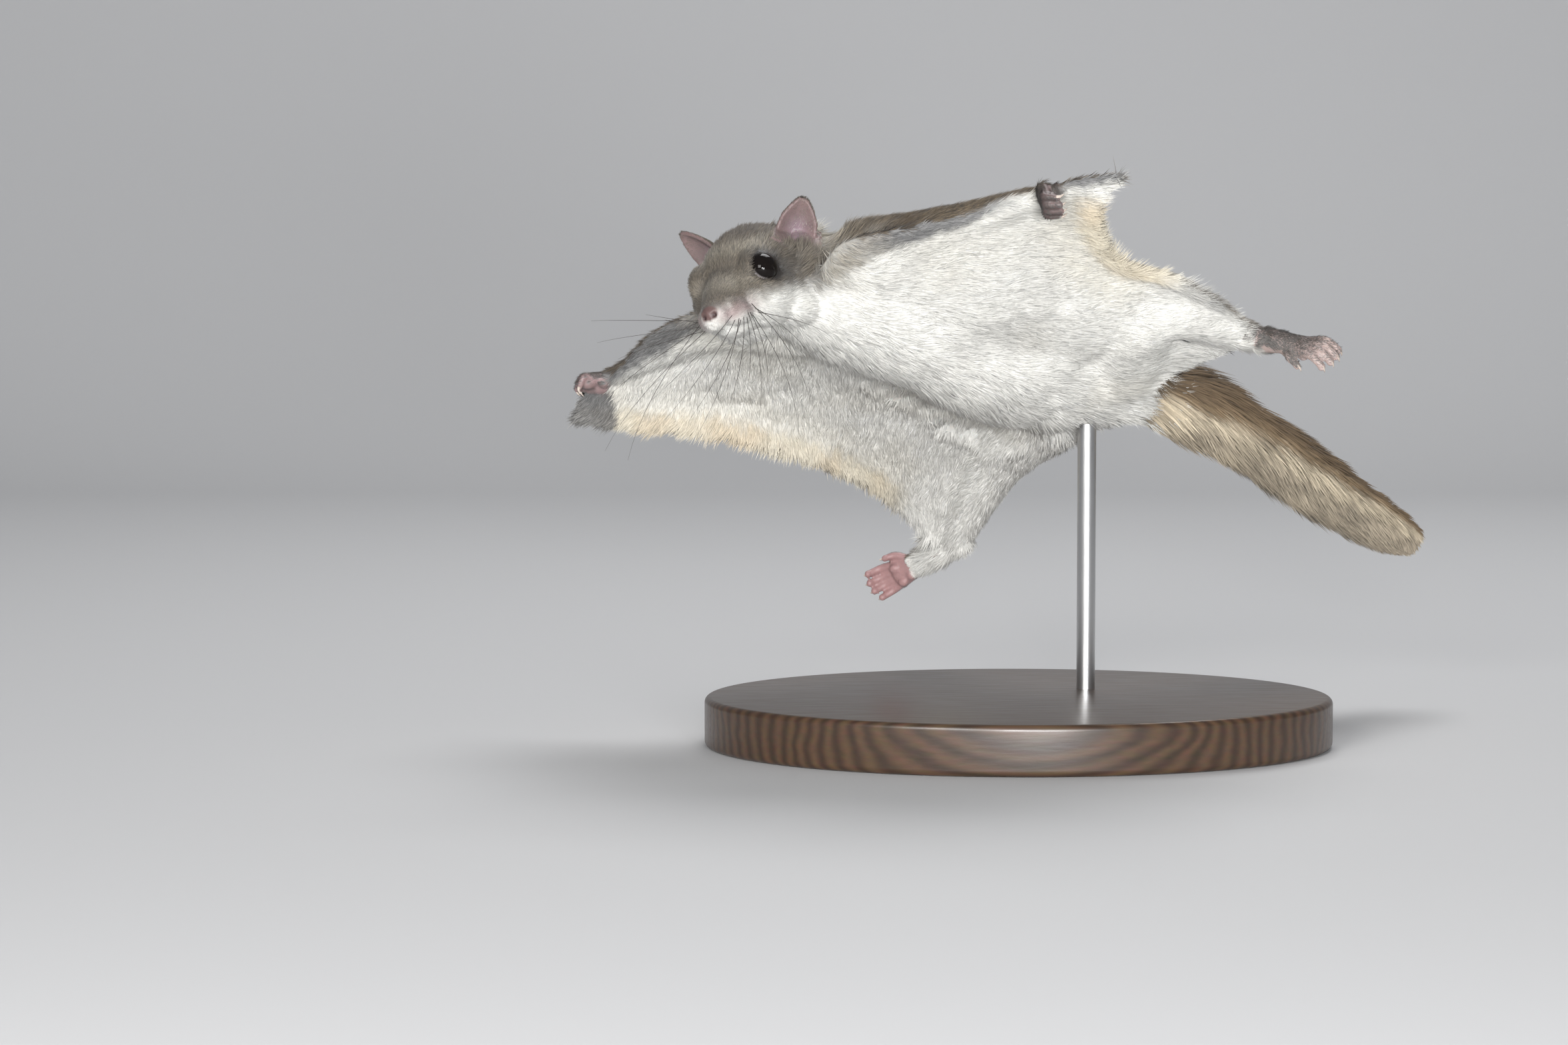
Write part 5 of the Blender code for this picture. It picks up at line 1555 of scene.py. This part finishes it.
def woodMaterial():
    made, tree = newTree("wood")
    link = tree.links.new
    place = addNode(tree, "ShaderNodeTexCoord", (-1300, 0))
    stretch = addNode(tree, "ShaderNodeMapping", (-1100, 0), inputs={"Scale": (0.10, 1.0, 1.0)})
    link(place.outputs["Object"], stretch.inputs["Vector"])
    warp = addNode(tree, "ShaderNodeTexNoise", (-900, 200), inputs={"Scale": 30})
    link(stretch.outputs[0], warp.inputs["Vector"])
    shifted = addNode(
        tree, "ShaderNodeVectorMath", (-700, 100), operation="MULTIPLY_ADD", inputs={1: (0.02, 0.02, 0.02)},
    )
    link(warp.outputs["Color"], shifted.inputs[0])
    link(stretch.outputs[0], shifted.inputs[2])
    rings = addNode(tree, "ShaderNodeTexWave", (-500, 100), wave_type="BANDS", bands_direction="Y", inputs={
        "Scale": 130, "Distortion": 2.5,
    })
    link(shifted.outputs[0], rings.inputs["Vector"])
    pores = addNode(tree, "ShaderNodeTexNoise", (-500, -200), inputs={"Scale": 900})
    link(stretch.outputs[0], pores.inputs["Vector"])
    tone = addNode(tree, "ShaderNodeValToRGB", (-300, 100))
    tone.color_ramp.elements[0].color = (0.046, 0.024, 0.013, 1)
    tone.color_ramp.elements[1].color = (0.100, 0.054, 0.028, 1)
    link(rings.outputs["Fac"], tone.inputs["Fac"])
    dark = addNode(
        tree, "ShaderNodeMix", (-50, 100), data_type="RGBA", blend_type="MULTIPLY", inputs={"Factor": 0.45},
    )
    link(tone.outputs["Color"], dark.inputs["A"])
    link(pores.outputs["Color"], dark.inputs["B"])
    rough = addNode(tree, "ShaderNodeMapRange", (-50, -150), inputs={"To Min": 0.30, "To Max": 0.48})
    link(pores.outputs["Fac"], rough.inputs["Value"])
    bump = addNode(tree, "ShaderNodeBump", (-50, -350), inputs={"Strength": 0.15, "Distance": 0.0002})
    link(pores.outputs["Fac"], bump.inputs["Height"])
    shader = addNode(tree, "ShaderNodeBsdfPrincipled", (200, 0), inputs={
        "Coat Weight": 0.35, "Coat Roughness": 0.22,
    })
    link(dark.outputs["Result"], shader.inputs["Base Color"])
    link(rough.outputs[0], shader.inputs["Roughness"])
    link(bump.outputs[0], shader.inputs["Normal"])
    showShader(tree, shader)
    return made


def steelMaterial():
    made, tree = newTree("steel")
    link = tree.links.new
    place = addNode(tree, "ShaderNodeTexCoord", (-900, 0))
    stretch = addNode(tree, "ShaderNodeMapping", (-700, 0), inputs={"Scale": (1.0, 1.0, 0.03)})
    link(place.outputs["Object"], stretch.inputs["Vector"])
    lines = addNode(tree, "ShaderNodeTexNoise", (-500, 0), inputs={"Scale": 6000})
    link(stretch.outputs[0], lines.inputs["Vector"])
    rough = addNode(tree, "ShaderNodeMapRange", (-250, 0), inputs={"To Min": 0.22, "To Max": 0.42})
    link(lines.outputs["Fac"], rough.inputs["Value"])
    bump = addNode(tree, "ShaderNodeBump", (-250, -250), inputs={"Strength": 0.08, "Distance": 0.00005})
    link(lines.outputs["Fac"], bump.inputs["Height"])
    shader = addNode(tree, "ShaderNodeBsdfPrincipled", (0, 0), inputs={
        "Base Color": (0.60, 0.60, 0.60, 1), "Metallic": 1.0,
    })
    link(rough.outputs[0], shader.inputs["Roughness"])
    link(bump.outputs[0], shader.inputs["Normal"])
    showShader(tree, shader)
    return made


def makeFloor():
    profile = [(stage["nearEdge"], 0.0)]
    for step in range(stage["sweepSteps"] + 1):
        a = math.radians(90 * step / stage["sweepSteps"])
        profile.append((stage["backAt"] + stage["sweep"] * math.sin(a), stage["sweep"] * (1 - math.cos(a))))
    profile.append((stage["backAt"] + stage["sweep"], stage["wallHigh"]))
    verts = [(x, y, z - stage["gap"]) for y, z in profile for x in (-stage["halfWide"], stage["halfWide"])]
    faces = [(2 * i, 2 * i + 1, 2 * i + 3, 2 * i + 2) for i in range(len(profile) - 1)]
    made = smoothShaded(newObject("floor", meshOf("floor", verts, faces)))
    made.data.materials.append(plainMaterial("floor", stage["floorTone"], 0.85))
    return made


def finishPiece(obj, material, slot, *nodes):
    obj.data.materials.append(material)
    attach(obj, "root")
    if nodes:
        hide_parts(*nodes)


makeCamera()
makeLamps()
skin = makeSkin()
print("skin:", len(skin.data.vertices), "points", len(skin.data.polygons), "faces")
fleshNodes = [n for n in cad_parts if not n.startswith(("stand_", "eye_"))]
finishPiece(skin, skinMaterial(), "body_fur", *fleshNodes)
furMaterial = coatMaterial("coat", 0.35, 0.10)
for obj in growCoat(skin.data):
    finishPiece(obj, furMaterial, "body_fur")
print("coat grown")
brushMaterial = coatMaterial("brush", 0.30, 0.20)
for obj in growBrush():
    finishPiece(obj, brushMaterial, "tail_fur")
print("tail brush grown")
eyeLook = eyeMaterial()
for side in sides:
    finishPiece(makeEye(side), eyeLook, "eye", "eye_" + side)
finishPiece(makeClaws(), plainMaterial("claw", (0.50, 0.42, 0.36), 0.32, 0.2), "bare_skin")
finishPiece(makeWhiskers(), plainMaterial("whisker", (0.045, 0.038, 0.034), 0.38), "head_fur")
print("eyes, claws and whiskers")
wood, steel = makeStand()
finishPiece(wood, woodMaterial(), "stand_wood", "stand_base")
finishPiece(steel, steelMaterial(), "stand_steel", "stand_rod")
makeFloor()
print("stand and floor")
